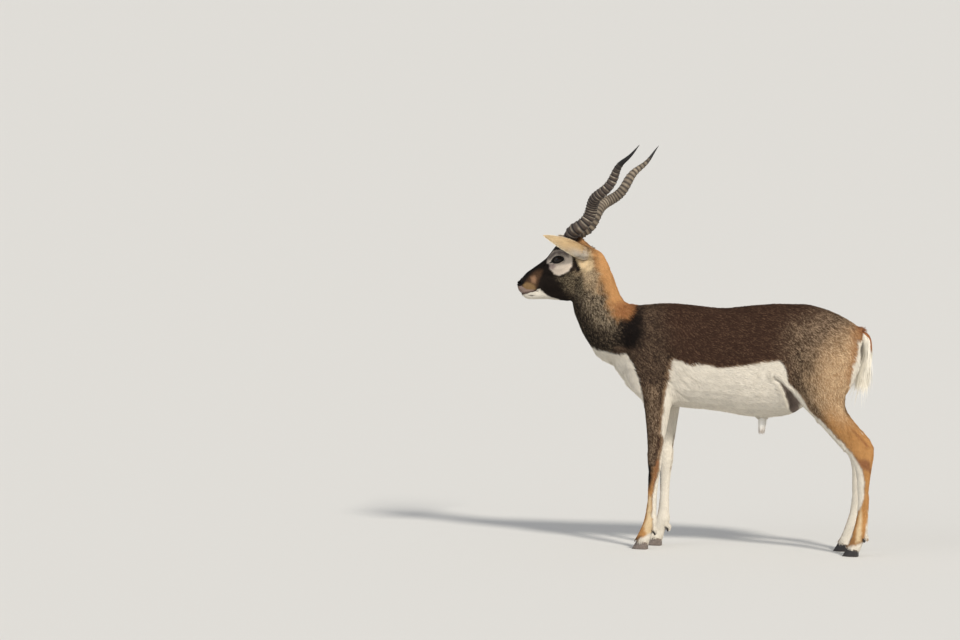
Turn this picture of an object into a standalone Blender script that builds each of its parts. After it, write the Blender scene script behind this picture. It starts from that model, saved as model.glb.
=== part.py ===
"""A blackbuck buck, standing still at life size.

The animal faces -X, its left side is -Y and up is +Z. The body is lofted from sections
across the middle plane, blended into one skin and parted with thin cuts into its named
pieces. Section rows are in millimetres, everything else is in metres.
"""

import math
import random

import bmesh
import bpy
import numpy as np
from mathutils import Matrix, Vector

MM = 0.001
GAP = 0.0003
SEED = 11

# Voxels and triangle budgets of the blended skins
BODY_VOXEL = 0.0062
HEAD_VOXEL = 0.0028
SHANK_VOXEL = 0.0026
BODY_TRIANGLES = 3700
HEAD_TRIANGLES = 2000
SHANK_TRIANGLES = 440

# Rows of the middle plane: top x, top z, bottom x, bottom z, half width
TRUNK = (
    (-268, 640, -266, 575, 32),
    (-240, 700, -238, 532, 55),
    (-193, 748, -189, 480, 76),
    (-146, 764, -141, 461, 88),
    (-98, 769, -94, 450, 93),
    (-40, 768, -36, 441, 95),
    (30, 762, 34, 437, 96),
    (90, 759, 94, 431, 98),
    (160, 767, 164, 420, 100),
    (235, 775, 240, 419, 99),
    (300, 777, 303, 430, 96),
    (362, 775, 366, 470, 92),
    (426, 757, 424, 520, 86),
    (480, 732, 470, 560, 74),
    (516, 708, 503, 596, 55),
    (532, 684, 522, 632, 29),
)
TRUNK_EGG = 0.16
TRUNK_SQUARE = 0.95
NECK = (
    (-60, 760, -110, 560, 80),
    (-150, 764, -210, 552, 80),
    (-180, 761, -302, 586, 72),
    (-219, 766, -338, 634, 63),
    (-238, 787, -360, 668, 57),
    (-251, 817, -376, 704, 53),
    (-265, 854, -389, 737, 50),
    (-284, 893, -392, 764, 44),
    (-303, 922, -389, 792, 38),
    (-334, 936, -376, 830, 26),
)
NECK_EGG = 0.1
NECK_SQUARE = 1.0
SKULL = (
    (-569, 816, -567, 800, 10),
    (-563, 826, -560, 791, 17),
    (-553, 838, -548, 786, 21),
    (-540, 853, -534, 784, 23.5),
    (-521, 867, -515, 783, 26),
    (-500, 882, -494, 784, 31),
    (-478, 899, -470, 785, 39),
    (-462, 919, -447, 787, 45),
    (-447, 939, -425, 790, 49),
    (-430, 956, -403, 794, 50),
    (-410, 965, -387, 800, 48),
    (-387, 966, -375, 812, 45),
    (-358, 957, -360, 832, 41),
    (-330, 934, -344, 850, 33),
)
SKULL_EGG = -0.04
SKULL_SQUARE = 0.78
JAW = (
    (-555, 797, -552, 783, 11),
    (-546, 800, -546, 774, 16),
    (-530, 800, -531, 768, 18.5),
    (-500, 802, -500, 769, 21),
    (-470, 812, -470, 770, 24),
    (-440, 836, -436, 768, 29),
    (-412, 866, -406, 766, 34),
    (-392, 872, -384, 772, 34),
    (-368, 862, -366, 800, 24),
)
JAW_EGG = -0.1
JAW_SQUARE = 0.85

# Rows of the legs: front x, front z, back x, back z, half width, distance from the middle
ARM = (
    (-170, 672, -90, 690, 16, 54),
    (-214, 604, -60, 608, 33, 60),
    (-206, 540, -50, 545, 39, 63),
    (-190, 500, -56, 500, 38, 66),
    (-157, 467, -59, 470, 34, 67),
    (-148, 440, -62, 446, 31, 67),
    (-143, 400, -70, 404, 28, 66),
    (-139, 356, -78, 359, 24, 65),
    (-137, 324, -85, 325, 21.5, 64),
    (-136, 294, -88, 296, 21.5, 63),
    (-135, 270, -89, 272, 22.5, 62),
    (-132, 246, -94, 247, 20, 62),
    (-133, 224, -98, 226, 16, 61),
    (-133.5, 180, -103, 181, 13, 61),
    (-135, 148, -104.5, 149, 13, 60),
    (-140, 112, -105, 112, 15, 60),
    (-147, 84, -103, 88, 18.5, 60),
    (-154, 66, -107, 68, 18.5, 60),
    (-163, 47, -119, 47, 16.5, 60),
    (-171, 32, -127, 24, 18.5, 60),
    (-174, 18, -131, 12, 18, 60),
)
THIGH = (
    (372, 712, 478, 704, 18, 40),
    (328, 650, 524, 652, 36, 49),
    (309, 588, 529, 592, 46, 55),
    (310, 535, 510, 538, 48, 60),
    (333, 491, 486, 496, 44, 66),
    (357, 457, 484, 473, 39, 69),
    (387, 428, 488, 450, 34, 70),
    (414, 403, 505, 424, 29, 70),
    (439, 376, 528, 399, 25, 70),
    (463, 350, 553, 373, 22, 70),
    (486, 326, 574, 351, 20, 70),
    (503, 308, 583, 327, 19, 70),
    (515, 286, 582, 303, 19, 70),
    (523, 258, 574, 266, 18, 70),
    (527, 217, 569, 219, 15.5, 70),
    (530, 174, 566, 175, 13.5, 70),
    (527, 123, 564, 121, 14.5, 70),
    (519, 90, 564, 86, 18.5, 70),
    (512, 68, 560, 64, 18.5, 70),
    (505, 48, 549, 42, 16.5, 70),
    (497, 32, 541, 22, 18.5, 70),
    (493, 18, 538, 10, 18, 70),
)
LEFT = -1
RIGHT = 1
FORE_SHIFT = {LEFT: 0.0, RIGHT: 0.022}
HIND_SHIFT = {LEFT: 0.0, RIGHT: -0.050}
FORE_HINGE = 0.52
HIND_HINGE = 0.62
WRIST = 0.306
HOCK = Vector((0.509, 0.0, 0.355))
HOCK_ACROSS = Vector((-0.62, 0.0, 0.80))
FETLOCK = 0.104

# Cuts through the trunk, and the prisms that part the upper legs: front x, back x, height, rise
COLLAR = Vector((-0.245, 0.0, 0.70))
COLLAR_ACROSS = Vector((0.66, 0.0, -0.75))
CHEST_END = 0.030
LOIN_END = 0.285
ARM_PRISM = (-0.32, -0.042, 0.425, 0.95)
THIGH_PRISM = (0.295, 0.70, 0.46, 1.75)

# Head
HEAD_ROLL = math.radians(-3.0)
HEAD_PIVOT = Vector((-0.42, 0.0, 0.87))
ROLL_REACH = 0.075
NAPE = Vector((-0.274, 0.0, 0.874))
THROAT = Vector((-0.391, 0.0, 0.752))
EYE_CENTRE = Vector((-0.4320, 0.0395, 0.8950))
EYE_RADIUS = 0.0160
SOCKET_RADIUS = 0.0202
LID_LONG = 0.0148
LID_TALL = 0.0094
LID_THICK = 0.0026
LID_TILT = math.radians(14.0)
NOSTRIL = Vector((-0.5585, 0.0145, 0.8185))
MOUTH = (
    (-504, 24.5, 797),
    (-521, 21.5, 794),
    (-536, 18.5, 790.5),
    (-547, 14, 788.5),
    (-553.5, 8, 788),
    (-556, 0, 788),
)
MOUTH_GROOVE = 0.0015
LIP_RADIUS = 0.0052
POLL = Vector((-0.394, 0.0, 0.935))
POLL_RADIUS = 0.036

# Ears
EAR_ROOT = Vector((-0.352, 0.043, 0.921))
EAR_BEND = Vector((-0.374, 0.083, 0.938))
EAR_TIP = Vector((-0.474, 0.108, 0.967))
EAR_OPENS = Vector((-0.46, -0.80, -0.35))
EAR_HALF_WIDTH = 0.0240
EAR_ROOT_RADIUS = 0.0140

# Horns
HORN_BASE = Vector((-0.3905, 0.0265, 0.9655))
HORN_TIP = Vector((-0.158, 0.166, 1.260))
HORN_RADIUS = 0.0215
HORN_RINGS = 22
HORN_RINGED = 0.80
HORN_TURNS = 2.72
HORN_SWAY = 0.0100
HORN_LAG = {-1: -0.09, 1: 0.04}
HORN_BOW = {-1: 0.0075, 1: -0.0060}
HORN_SIDES = 10

# Tail
TAIL_PATH = (
    (514, 704, 14),
    (528, 702, 13),
    (543, 686, 12),
    (549, 660, 11.5),
    (549, 630, 10),
    (544, 600, 8),
    (535, 572, 5),
)
TAIL_TIP_Z = 0.490
TAIL_TIERS = 5
TAIL_SPOKES = (-1.0, -0.34, 0.34, 1.0)
TAIL_CUT = 4

# Tuft of the belly: points of its middle line, each with a radius
SHEATH = (((206, 0, 440), 17), ((211, 0, 420), 14), ((214, 0, 398), 9), ((216, 0, 380), 3.5))

# Hooves
CORONET_FRONT = 0.0275
CORONET_BACK = 0.0185
HOOF_LENGTH = 0.0500
HOOF_HALF_WIDTH = 0.0170
HOOF_CLEFT = 0.0022
HOOF_LEAN = 0.0165
DEWCLAW = ((-0.010, 0.070, 0.0065), (0.001, 0.062, 0.0058), (0.0045, 0.050, 0.0032))

INKS = {
    "coat_dark": ((0.040, 0.028, 0.022), 0.75),
    "coat_tan": ((0.42, 0.21, 0.085), 0.75),
    "coat_white": ((0.74, 0.70, 0.63), 0.8),
    "ear_buff": ((0.62, 0.46, 0.28), 0.75),
    "horn": ((0.085, 0.068, 0.055), 0.5),
    "hoof": ((0.030, 0.026, 0.024), 0.4),
    "eye": ((0.012, 0.007, 0.005), 0.08),
}


def material(name):
    """The finish of one kind of surface, made once."""
    found = bpy.data.materials.get(name)
    if found:
        return found
    colour, roughness = INKS[name]
    made = bpy.data.materials.new(name)
    made.use_nodes = True
    shader = made.node_tree.nodes["Principled BSDF"]
    shader.inputs["Base Color"].default_value = (*colour, 1.0)
    shader.inputs["Roughness"].default_value = roughness
    made.diffuse_color = (*colour, 1.0)
    return made


def clear_scene():
    """Empty the scene that the file opened with."""
    for thing in list(bpy.data.objects):
        bpy.data.objects.remove(thing, do_unlink=True)


def add_object(name, verts, faces):
    """A new object from vertices and faces."""
    mesh = bpy.data.meshes.new(name)
    mesh.from_pydata([tuple(v) for v in verts], [], faces)
    mesh.update()
    thing = bpy.data.objects.new(name, mesh)
    bpy.context.scene.collection.objects.link(thing)
    return thing


def drop(thing):
    """Remove an object with its mesh."""
    mesh = thing.data
    bpy.data.objects.remove(thing, do_unlink=True)
    bpy.data.meshes.remove(mesh)


def settle(thing):
    """Turn an object's modifiers into its mesh."""
    bpy.context.view_layer.update()
    graph = bpy.context.evaluated_depsgraph_get()
    mesh = bpy.data.meshes.new_from_object(thing.evaluated_get(graph), depsgraph=graph)
    old = thing.data
    thing.modifiers.clear()
    thing.data = mesh
    bpy.data.meshes.remove(old)


def combine(thing, other, operation, solver="EXACT"):
    """Join, cut or keep what two closed bodies share, and remove the second."""
    step = thing.modifiers.new("Combine", "BOOLEAN")
    step.object = other
    step.operation = operation
    step.solver = solver
    settle(thing)
    drop(other)


def combine_many(thing, others, operation, solver="EXACT"):
    """The same with many bodies in one step."""
    group = bpy.data.collections.new("pieces")
    bpy.context.scene.collection.children.link(group)
    for other in others:
        group.objects.link(other)
    step = thing.modifiers.new("Combine", "BOOLEAN")
    step.operand_type = "COLLECTION"
    step.collection = group
    step.operation = operation
    step.solver = solver
    settle(thing)
    for other in others:
        drop(other)
    bpy.data.collections.remove(group)


def keep_largest(thing):
    """Keep only the largest closed surface of a mesh."""
    work = bmesh.new()
    work.from_mesh(thing.data)
    seen = set()
    shells = []
    for first in work.verts:
        if first in seen:
            continue
        shell = [first]
        seen.add(first)
        for vert in shell:
            for edge in vert.link_edges:
                other = edge.other_vert(vert)
                if other not in seen:
                    seen.add(other)
                    shell.append(other)
        shells.append(shell)
    shells.sort(key=len)
    for shell in shells[:-1]:
        bmesh.ops.delete(work, geom=shell, context="VERTS")
    work.to_mesh(thing.data)
    work.free()


def copy_of(thing, name):
    """A second object with a mesh of its own."""
    made = bpy.data.objects.new(name, thing.data.copy())
    bpy.context.scene.collection.objects.link(made)
    return made


def through(rows, steps):
    """Rows between the given ones, on a smooth curve through them."""
    rows = np.array(rows, dtype=float)
    padded = np.vstack([2 * rows[0] - rows[1], rows, 2 * rows[-1] - rows[-2]])
    out = []
    for i in range(len(rows) - 1):
        a, b, c, d = padded[i:i + 4]
        for k in range(steps):
            t = k / steps
            square = (2 * a - 5 * b + 4 * c - d) * t**2
            cube = (3 * b - a - 3 * c + d) * t**3
            out.append(0.5 * (2 * b + (c - a) * t + square + cube))
    out.append(rows[-1])
    return np.array(out)


def tube(rings, name="shell"):
    """A closed surface over rings of the same number of points."""
    sides = len(rings[0])
    verts = [p for ring in rings for p in ring]
    faces = []
    for k in range(len(rings) - 1):
        for i in range(sides):
            j = (i + 1) % sides
            faces.append((k * sides + i, k * sides + j, (k + 1) * sides + j, (k + 1) * sides + i))
    faces.append(tuple(reversed(range(sides))))
    last = (len(rings) - 1) * sides
    faces.append(tuple(range(last, last + sides)))
    return outward(add_object(name, verts, faces))


def outward(thing):
    """Point all faces out of a closed mesh."""
    work = bmesh.new()
    work.from_mesh(thing.data)
    bmesh.ops.recalc_face_normals(work, faces=work.faces)
    if work.calc_volume(signed=True) < 0:
        bmesh.ops.reverse_faces(work, faces=work.faces)
    work.to_mesh(thing.data)
    work.free()
    return thing


def squared(value, power):
    """A sine or cosine, drawn out so that a section becomes squarer below a power of one."""
    return math.copysign(abs(value) ** power, value)


def body_loft(rows, egg, square, sides=32, steps=3):
    """A loft of sections across the middle plane, drawn in at the top by egg."""
    rings = []
    for row in through(rows, steps):
        top = Vector((row[0], 0, row[1])) * MM
        low = Vector((row[2], 0, row[3])) * MM
        half = row[4] * MM
        ring = []
        for i in range(sides):
            a = 2 * math.pi * i / sides
            wide = half * (1 - egg * math.sin(a)) * squared(math.cos(a), square)
            high = squared(math.sin(a), square)
            ring.append((top + low) / 2 + (top - low) / 2 * high + Vector((0, wide, 0)))
        rings.append(ring)
    return tube(rings)


def swing(z, hinge):
    """Share of a leg's shift at a height: none above its hinge, all of it at the floor."""
    return max(0.0, 1 - z / hinge) ** 0.7


def leg_rings(rows, side, shift, hinge, sides, steps):
    """Rings of a leg's sections, the whole leg swung forward or back below its hinge."""
    rings = []
    for row in through(rows, steps):
        front = Vector((row[0], 0, row[1])) * MM
        back = Vector((row[2], 0, row[3])) * MM
        ring = []
        for i in range(sides):
            a = 2 * math.pi * i / sides
            y = side * row[5] * MM + row[4] * MM * math.sin(a)
            p = (front + back) / 2 + (front - back) / 2 * math.cos(a) + Vector((0, y, 0))
            p.x += shift * swing(p.z, hinge)
            ring.append(p)
        rings.append(ring)
    return rings


def blended(name, shells, voxel, passes, triangles):
    """One smooth closed skin round overlapping closed shells."""
    verts = []
    faces = []
    for shell in shells:
        base = len(verts)
        verts.extend(v.co.copy() for v in shell.data.vertices)
        faces.extend(tuple(base + i for i in p.vertices) for p in shell.data.polygons)
        drop(shell)
    thing = add_object(name, verts, faces)
    skin = thing.modifiers.new("Blend", "REMESH")
    skin.mode = "VOXEL"
    skin.voxel_size = voxel
    ease = thing.modifiers.new("Ease", "SMOOTH")
    ease.factor = 0.5
    ease.iterations = passes
    thing.modifiers.new("Split", "TRIANGULATE")
    settle(thing)
    keep_largest(thing)
    coarse = thing.modifiers.new("Coarse", "DECIMATE")
    coarse.ratio = min(1.0, triangles / len(thing.data.polygons))
    coarse.use_collapse_triangulate = True
    settle(thing)
    return thing


def slab(name, point, normal, reach, depth):
    """A square block with its near face on a plane, reaching along the normal."""
    normal = Vector(normal).normalized()
    across = normal.orthogonal().normalized()
    other = normal.cross(across)
    verts = []
    for d in (0.0, depth):
        for s, t in ((-1, -1), (1, -1), (1, 1), (-1, 1)):
            verts.append(point + normal * d + across * (s * reach) + other * (t * reach))
    faces = [(0, 1, 2, 3), (4, 5, 6, 7), (0, 1, 5, 4), (1, 2, 6, 5), (2, 3, 7, 6), (3, 0, 4, 7)]
    return outward(add_object(name, verts, faces))


def keep_side(thing, point, normal, reach=1.5):
    """Keep what lies on the side of a plane that its normal points away from, less half a gap."""
    normal = Vector(normal).normalized()
    combine(thing, slab("cutter", Vector(point) - normal * (GAP / 2), normal, reach, 3.0), "DIFFERENCE")
    keep_largest(thing)


def limb_prism(x0, x1, side, height, rise, grow):
    """The room below a sloping plane on one side of the middle, which takes a whole leg."""
    inner = side * 0.0002
    outer = side * 0.30
    lift = grow * math.hypot(1.0, rise)
    verts = []
    for x in (x0, x1):
        for y in (inner, outer):
            verts.append(Vector((x, y, height + rise * abs(y) + lift)))
            verts.append(Vector((x, y, -0.1)))
    faces = [(0, 1, 3, 2), (4, 5, 7, 6), (0, 1, 5, 4), (2, 3, 7, 6), (0, 2, 6, 4), (1, 3, 7, 5)]
    return outward(add_object("prism", verts, faces))


def head_plane():
    """Direction from the head into the neck across their cut."""
    line = NAPE - THROAT
    return Vector((line.z, 0, -line.x)).normalized()


def rolled(point):
    """A point of the level head, moved to where the tilted head has it, less so beside the neck."""
    ahead = ((NAPE + THROAT) / 2 - Vector(point)).dot(head_plane()) / ROLL_REACH
    share = min(1.0, max(0.0, ahead))
    lean = HEAD_ROLL * share * share * (3 - 2 * share)
    return Matrix.Rotation(lean, 3, "X") @ (Vector(point) - HEAD_PIVOT) + HEAD_PIVOT


def sided(vector, side):
    """A place given on the right side, or its mirror on the left."""
    v = Vector(vector)
    return Vector((v.x, v.y * side, v.z))


def roll_mesh(thing):
    """Tilt an object's mesh with the head."""
    for vert in thing.data.vertices:
        vert.co = rolled(vert.co)
    return thing


def frames_along(points, hint):
    """Tangent, side and up of each point of a path, the up kept near a hint."""
    out = []
    for i, p in enumerate(points):
        a = points[max(0, i - 1)]
        b = points[min(len(points) - 1, i + 1)]
        ahead = (b - a).normalized()
        up = (hint - ahead * hint.dot(ahead)).normalized()
        out.append((p, ahead, ahead.cross(up), up))
    return out


def round_tube(points, radii, sides, hint, flat=1.0):
    """A closed tube along a path, flattened across the hint."""
    rings = []
    for (p, _, across, up), r in zip(frames_along(points, hint), radii):
        ring = []
        for i in range(sides):
            a = 2 * math.pi * i / sides
            ring.append(p + across * (r * math.cos(a)) + up * (r * flat * math.sin(a)))
        rings.append(ring)
    return tube(rings)


def ball(centre, radius, segments, rings, stretch=None):
    """A closed sphere, or an egg where it is stretched by a matrix."""
    work = bmesh.new()
    bmesh.ops.create_uvsphere(work, u_segments=segments, v_segments=rings, radius=radius)
    if stretch is not None:
        bmesh.ops.transform(work, matrix=stretch.to_4x4(), verts=work.verts)
    bmesh.ops.translate(work, vec=centre, verts=work.verts)
    mesh = bpy.data.meshes.new("ball")
    work.to_mesh(mesh)
    work.free()
    thing = bpy.data.objects.new("ball", mesh)
    bpy.context.scene.collection.objects.link(thing)
    return outward(thing)


def horn_axis(side):
    """Foot, tip and directions of one horn's straight axis."""
    foot = sided(HORN_BASE, side)
    tip = sided(HORN_TIP, side)
    along = (tip - foot).normalized()
    front = Vector((-1, 0, 0))
    front = (front - along * front.dot(along)).normalized()
    return foot, tip, along, front, front.cross(along) * side


def horn_centre(side, s):
    """Centre line of a horn: a corkscrew that opens from its foot and closes at its tip."""
    foot, tip, _, front, out = horn_axis(side)
    sway = HORN_SWAY * min(1.0, 0.35 + s / 0.20) * (1 - 0.64 * s) * min(1.0, 5 * (1 - s))
    turn = 2 * math.pi * (HORN_TURNS * s + HORN_LAG[side])
    bow = HORN_BOW[side] * math.sin(math.pi * s**1.7)
    return foot.lerp(tip, s) + front * (sway * math.cos(turn) + bow) + out * (sway * math.sin(turn))


def horn_radius(s):
    """Mean radius of a horn at a share of its length."""
    return HORN_RADIUS * (1 - 0.52 * s) * min(1.0, 2.15 * (1 - s) ** 0.78 + 0.02)


def horn_stations():
    """Places along a horn and the swell of its rings there."""
    stations = [(0.0, 1.05)]
    place = 0.012
    for k in range(HORN_RINGS):
        pitch = HORN_RINGED / HORN_RINGS * (0.82 + 0.36 * k / HORN_RINGS)
        depth = 0.085 * (1 - 0.45 * k / HORN_RINGS)
        stations.append((place, 1 - 0.5 * depth))
        stations.append((place + 0.36 * pitch, 1 + depth))
        stations.append((place + 0.68 * pitch, 1 + 0.9 * depth))
        place += pitch
    for s in (0.86, 0.91, 0.955, 0.985, 1.0):
        stations.append((s, 1.0))
    return stations


def make_horn(side):
    """One ringed, spiral horn."""
    stations = horn_stations()
    points = [horn_centre(side, s) for s, _ in stations]
    _, _, along, front, _ = horn_axis(side)
    rings = []
    for index, ((s, swell), (p, _, across, up)) in enumerate(zip(stations, frames_along(points, front))):
        if index == 0:
            across = along.cross(front)
            up = front
        r = horn_radius(s) * swell
        ring = []
        for i in range(HORN_SIDES):
            a = 2 * math.pi * i / HORN_SIDES
            ring.append(p + across * (r * 0.96 * math.cos(a)) + up * (r * math.sin(a)))
        rings.append(ring)
    return roll_mesh(tube(rings, "horn"))


def horn_stub(side):
    """The haired foot of a horn, which the skull grows."""
    foot, _, along, front, _ = horn_axis(side)
    points = [foot - along * 0.040, foot - along * 0.015, foot + along * 0.012]
    return round_tube(points, [0.027, 0.0255, 0.0240], 20, front)


def ear_frame(side, u):
    """Middle point, direction, opening and width directions of one ear at a share of its length."""
    root, bend, tip = (sided(p, side) for p in (EAR_ROOT, EAR_BEND, EAR_TIP))
    point = root * (1 - u) ** 2 + bend * (2 * u * (1 - u)) + tip * u * u
    along = ((bend - root) * (1 - u) + (tip - bend) * u).normalized()
    opens = sided(EAR_OPENS, side)
    opens = (opens - along * opens.dot(along)).normalized()
    return point, along, opens, along.cross(opens)


def ear_section(u):
    """Half width, half angle and thickness of an ear at a share of its length."""
    width = EAR_ROOT_RADIUS + (EAR_HALF_WIDTH - EAR_ROOT_RADIUS) * math.sin(math.pi / 2 * min(1.0, u / 0.38))
    if u > 0.38:
        width = EAR_HALF_WIDTH * max(0.02, 1 - ((u - 0.38) / 0.62) ** 2.1)
    spread = 2.75 - 1.45 * min(1.0, u / 0.35) - 0.65 * max(0.0, u - 0.35) / 0.65
    thick = 0.0016 + 0.0070 * max(0.0, 1 - u / 0.14)
    return width, spread, thick


def make_ear(side):
    """One leaf-shaped ear with its cup."""
    lengthwise = 10
    widthwise = 8
    sheets = []
    for inner in (0, 1):
        rows = []
        for k in range(lengthwise + 1):
            u = k / lengthwise * 0.985
            width, spread, thick = ear_section(u)
            arc = width / math.sin(min(spread, math.pi / 2))
            r = arc - inner * min(thick, 0.8 * arc)
            middle, _, opens, across = ear_frame(side, u)
            hub = middle + opens * (arc - EAR_ROOT_RADIUS)
            row = []
            for i in range(widthwise + 1):
                a = spread * (2 * i / widthwise - 1)
                row.append(hub - opens * (r * math.cos(a)) + across * (r * math.sin(a)))
            rows.append(row)
        sheets.append(rows)
    verts = []
    index = {}
    for n, rows in enumerate(sheets):
        for k, row in enumerate(rows):
            for i, p in enumerate(row):
                index[n, k, i] = len(verts)
                verts.append(p)
    faces = []
    for k in range(lengthwise):
        for i in range(widthwise):
            for n in (0, 1):
                a, b = index[n, k, i], index[n, k, i + 1]
                c, d = index[n, k + 1, i + 1], index[n, k + 1, i]
                faces.extend([(a, b, c), (a, c, d)])
        for i in (0, widthwise):
            faces.append((index[0, k, i], index[1, k, i], index[1, k + 1, i], index[0, k + 1, i]))
    for i in range(widthwise):
        for k in (0, lengthwise):
            faces.append((index[0, k, i], index[0, k, i + 1], index[1, k, i + 1], index[1, k, i]))
    return roll_mesh(outward(add_object("ear", verts, faces)))


def ear_stub(side):
    """The muscled root of an ear, which the skull grows."""
    root, along, opens, _ = ear_frame(side, 0.0)
    points = [root - along * 0.030, root - along * 0.012, root + along * 0.012]
    return round_tube(points, [0.022, 0.0175, 0.0146], 16, opens)


def lid_axes(side):
    """Directions of the eye opening: ahead along it, up across it and out of the head."""
    ahead = Vector((-math.cos(LID_TILT), 0, -math.sin(LID_TILT)))
    upward = Vector((-math.sin(LID_TILT), 0, math.cos(LID_TILT)))
    return ahead, upward, Vector((0, side, 0))


def almond(turn):
    """A point of the eye opening's outline, along and across it."""
    lower = 1.0 if math.sin(turn) > 0 else 0.86
    return LID_LONG * math.cos(turn), LID_TALL * math.sin(turn) * lower


def lid_ring(side):
    """The two lids as one rim that hugs the eyeball."""
    centre = sided(EYE_CENTRE, side)
    ahead, upward, outer = lid_axes(side)
    reach = EYE_RADIUS + 0.0018
    count = 16
    sides = 5
    rings = []
    for k in range(count):
        turn = 2 * math.pi * k / count
        a, b = almond(turn)
        point = centre + ahead * a + upward * b + outer * math.sqrt(reach * reach - a * a - b * b)
        away = (point - centre).normalized()
        rim = (ahead * math.cos(turn) + upward * math.sin(turn)).normalized()
        ring = []
        for i in range(sides):
            q = 2 * math.pi * i / sides
            high = away * (LID_THICK * 0.8 * math.sin(q))
            ring.append(point + high + rim * (LID_THICK * (math.cos(q) + 0.5)))
        rings.append(ring)
    faces = []
    for k in range(count):
        n = (k + 1) % count
        for i in range(sides):
            j = (i + 1) % sides
            faces.append((k * sides + i, k * sides + j, n * sides + j, n * sides + i))
    return outward(add_object("lid", [v for ring in rings for v in ring], faces))


def lid_opening(side):
    """The cutter that opens the skin between the lids."""
    centre = sided(EYE_CENTRE, side)
    ahead, upward, outer = lid_axes(side)
    rings = []
    for depth in (0.004, 0.034):
        ring = []
        for k in range(16):
            a, b = almond(2 * math.pi * k / 16)
            ring.append(centre + ahead * a + upward * b + outer * depth)
        rings.append(ring)
    return outward(tube(rings, "opening"))


def mouth_path():
    """The line of the closed mouth, from one corner round the front to the other."""
    half = [Vector(p) * MM for p in MOUTH]
    path = [Vector((p.x, -p.y, p.z)) for p in half[:-1]]
    path.extend(reversed(half))
    return path


def lip(offset, radius):
    """A soft swelling beside the line of the mouth."""
    points = []
    radii = []
    path = mouth_path()
    for i, p in enumerate(path):
        fade = math.sin(math.pi * (i + 0.8) / (len(path) + 0.6)) ** 0.6
        inward = Vector((-0.515, 0, p.z)) - p
        inward.z = 0
        points.append(p + Vector((0, 0, offset)) + inward.normalized() * radius * (1.15 - 0.35 * fade))
        radii.append(radius * (0.6 + 0.4 * fade))
    return round_tube(points, radii, 10, Vector((0, 0, 1)))


def mouth_wedge():
    """The thin wedge that parts the lips."""
    path = mouth_path()
    rings = []
    for p, _, across, up in frames_along(path, Vector((0, 0, 1))):
        outer = across if across.dot(p - Vector((-0.52, 0, p.z))) > 0 else -across
        tip = p - outer * 0.0045
        far = p + outer * 0.0060
        rings.append([tip, far + up * MOUTH_GROOVE, far - up * MOUTH_GROOVE])
    return tube(rings, "wedge")


def nostril_pit(side):
    """The comma-shaped opening of one nostril."""
    turn = Matrix.Rotation(math.radians(-32) * side, 3, "Z") @ Matrix.Rotation(math.radians(38), 3, "Y")
    stretch = turn @ Matrix.Diagonal((1.2, 0.75, 0.50))
    return ball(sided(NOSTRIL, side), 0.0072, 12, 8, stretch)


def nostril_wing(side):
    """The raised wing round one nostril."""
    centre = sided(NOSTRIL, side)
    points = []
    for k in range(7):
        a = math.radians(-25 + 35 * k)
        points.append(centre + Vector((-0.0078 * math.cos(a), -side * 0.0010, 0.0066 * math.sin(a))))
    return round_tube(points, [0.0022, 0.0030, 0.0034, 0.0035, 0.0034, 0.0030, 0.0022], 8, Vector((0, 1, 0)))


def face_lofts():
    """The skull and the lower jaw."""
    return [body_loft(SKULL, SKULL_EGG, SKULL_SQUARE), body_loft(JAW, JAW_EGG, JAW_SQUARE)]


def make_head():
    """The head with lids, nostrils, lips and the roots of ears and horns."""
    shells = [
        *face_lofts(),
        body_loft(NECK, NECK_EGG, NECK_SQUARE),
        ball(POLL, POLL_RADIUS, 20, 12),
        lip(LIP_RADIUS * 0.8, LIP_RADIUS),
        lip(-LIP_RADIUS * 0.8, LIP_RADIUS * 0.9),
    ]
    for side in (LEFT, RIGHT):
        shells.append(ball(sided(EYE_CENTRE, side), SOCKET_RADIUS, 20, 12))
        shells.append(nostril_wing(side))
        shells.append(horn_stub(side))
        shells.append(ear_stub(side))
    head = blended("head", shells, HEAD_VOXEL, 6, HEAD_TRIANGLES)
    keep_side(head, (NAPE + THROAT) / 2 + head_plane() * 0.03, head_plane())
    combine_many(head, [lid_ring(LEFT), lid_ring(RIGHT)], "UNION")
    cuts = [mouth_wedge()]
    for side in (LEFT, RIGHT):
        cuts.append(lid_opening(side))
        cuts.append(ball(sided(EYE_CENTRE, side), EYE_RADIUS + 2 * GAP, 14, 9))
        cuts.append(nostril_pit(side))
        foot, _, along, _, _ = horn_axis(side)
        cuts.append(disc_cutter(foot, along, HORN_RADIUS * 1.05 + 0.0022, 0.034))
        root, along, _, _ = ear_frame(side, 0.0)
        cuts.append(disc_cutter(root, along, EAR_ROOT_RADIUS + 0.010, 0.030))
    for cut in cuts:
        combine(head, cut, "DIFFERENCE")
    keep_largest(head)
    roll_mesh(head)
    keep_side(head, (NAPE + THROAT) / 2, head_plane())
    return head


def disc_cutter(point, along, radius, depth):
    """A round cutter that faces a root across the gap."""
    start = point - along * GAP
    return round_tube([start, start + along * depth], [radius, radius], 24, along.orthogonal())


def make_eye(side):
    """One eyeball."""
    return roll_mesh(ball(sided(EYE_CENTRE, side), EYE_RADIUS, 14, 9))


def tail_points():
    """Middle line of the tail's core with its radii."""
    rows = through(TAIL_PATH, 3)
    return [Vector((r[0], 0, r[1])) * MM for r in rows], [r[2] * MM for r in rows]


def tail_stub():
    """The root of the tail, which the rump grows."""
    points, radii = tail_points()
    return round_tube(points[:8], radii[:8], 16, Vector((1, 0, 0)))


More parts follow.
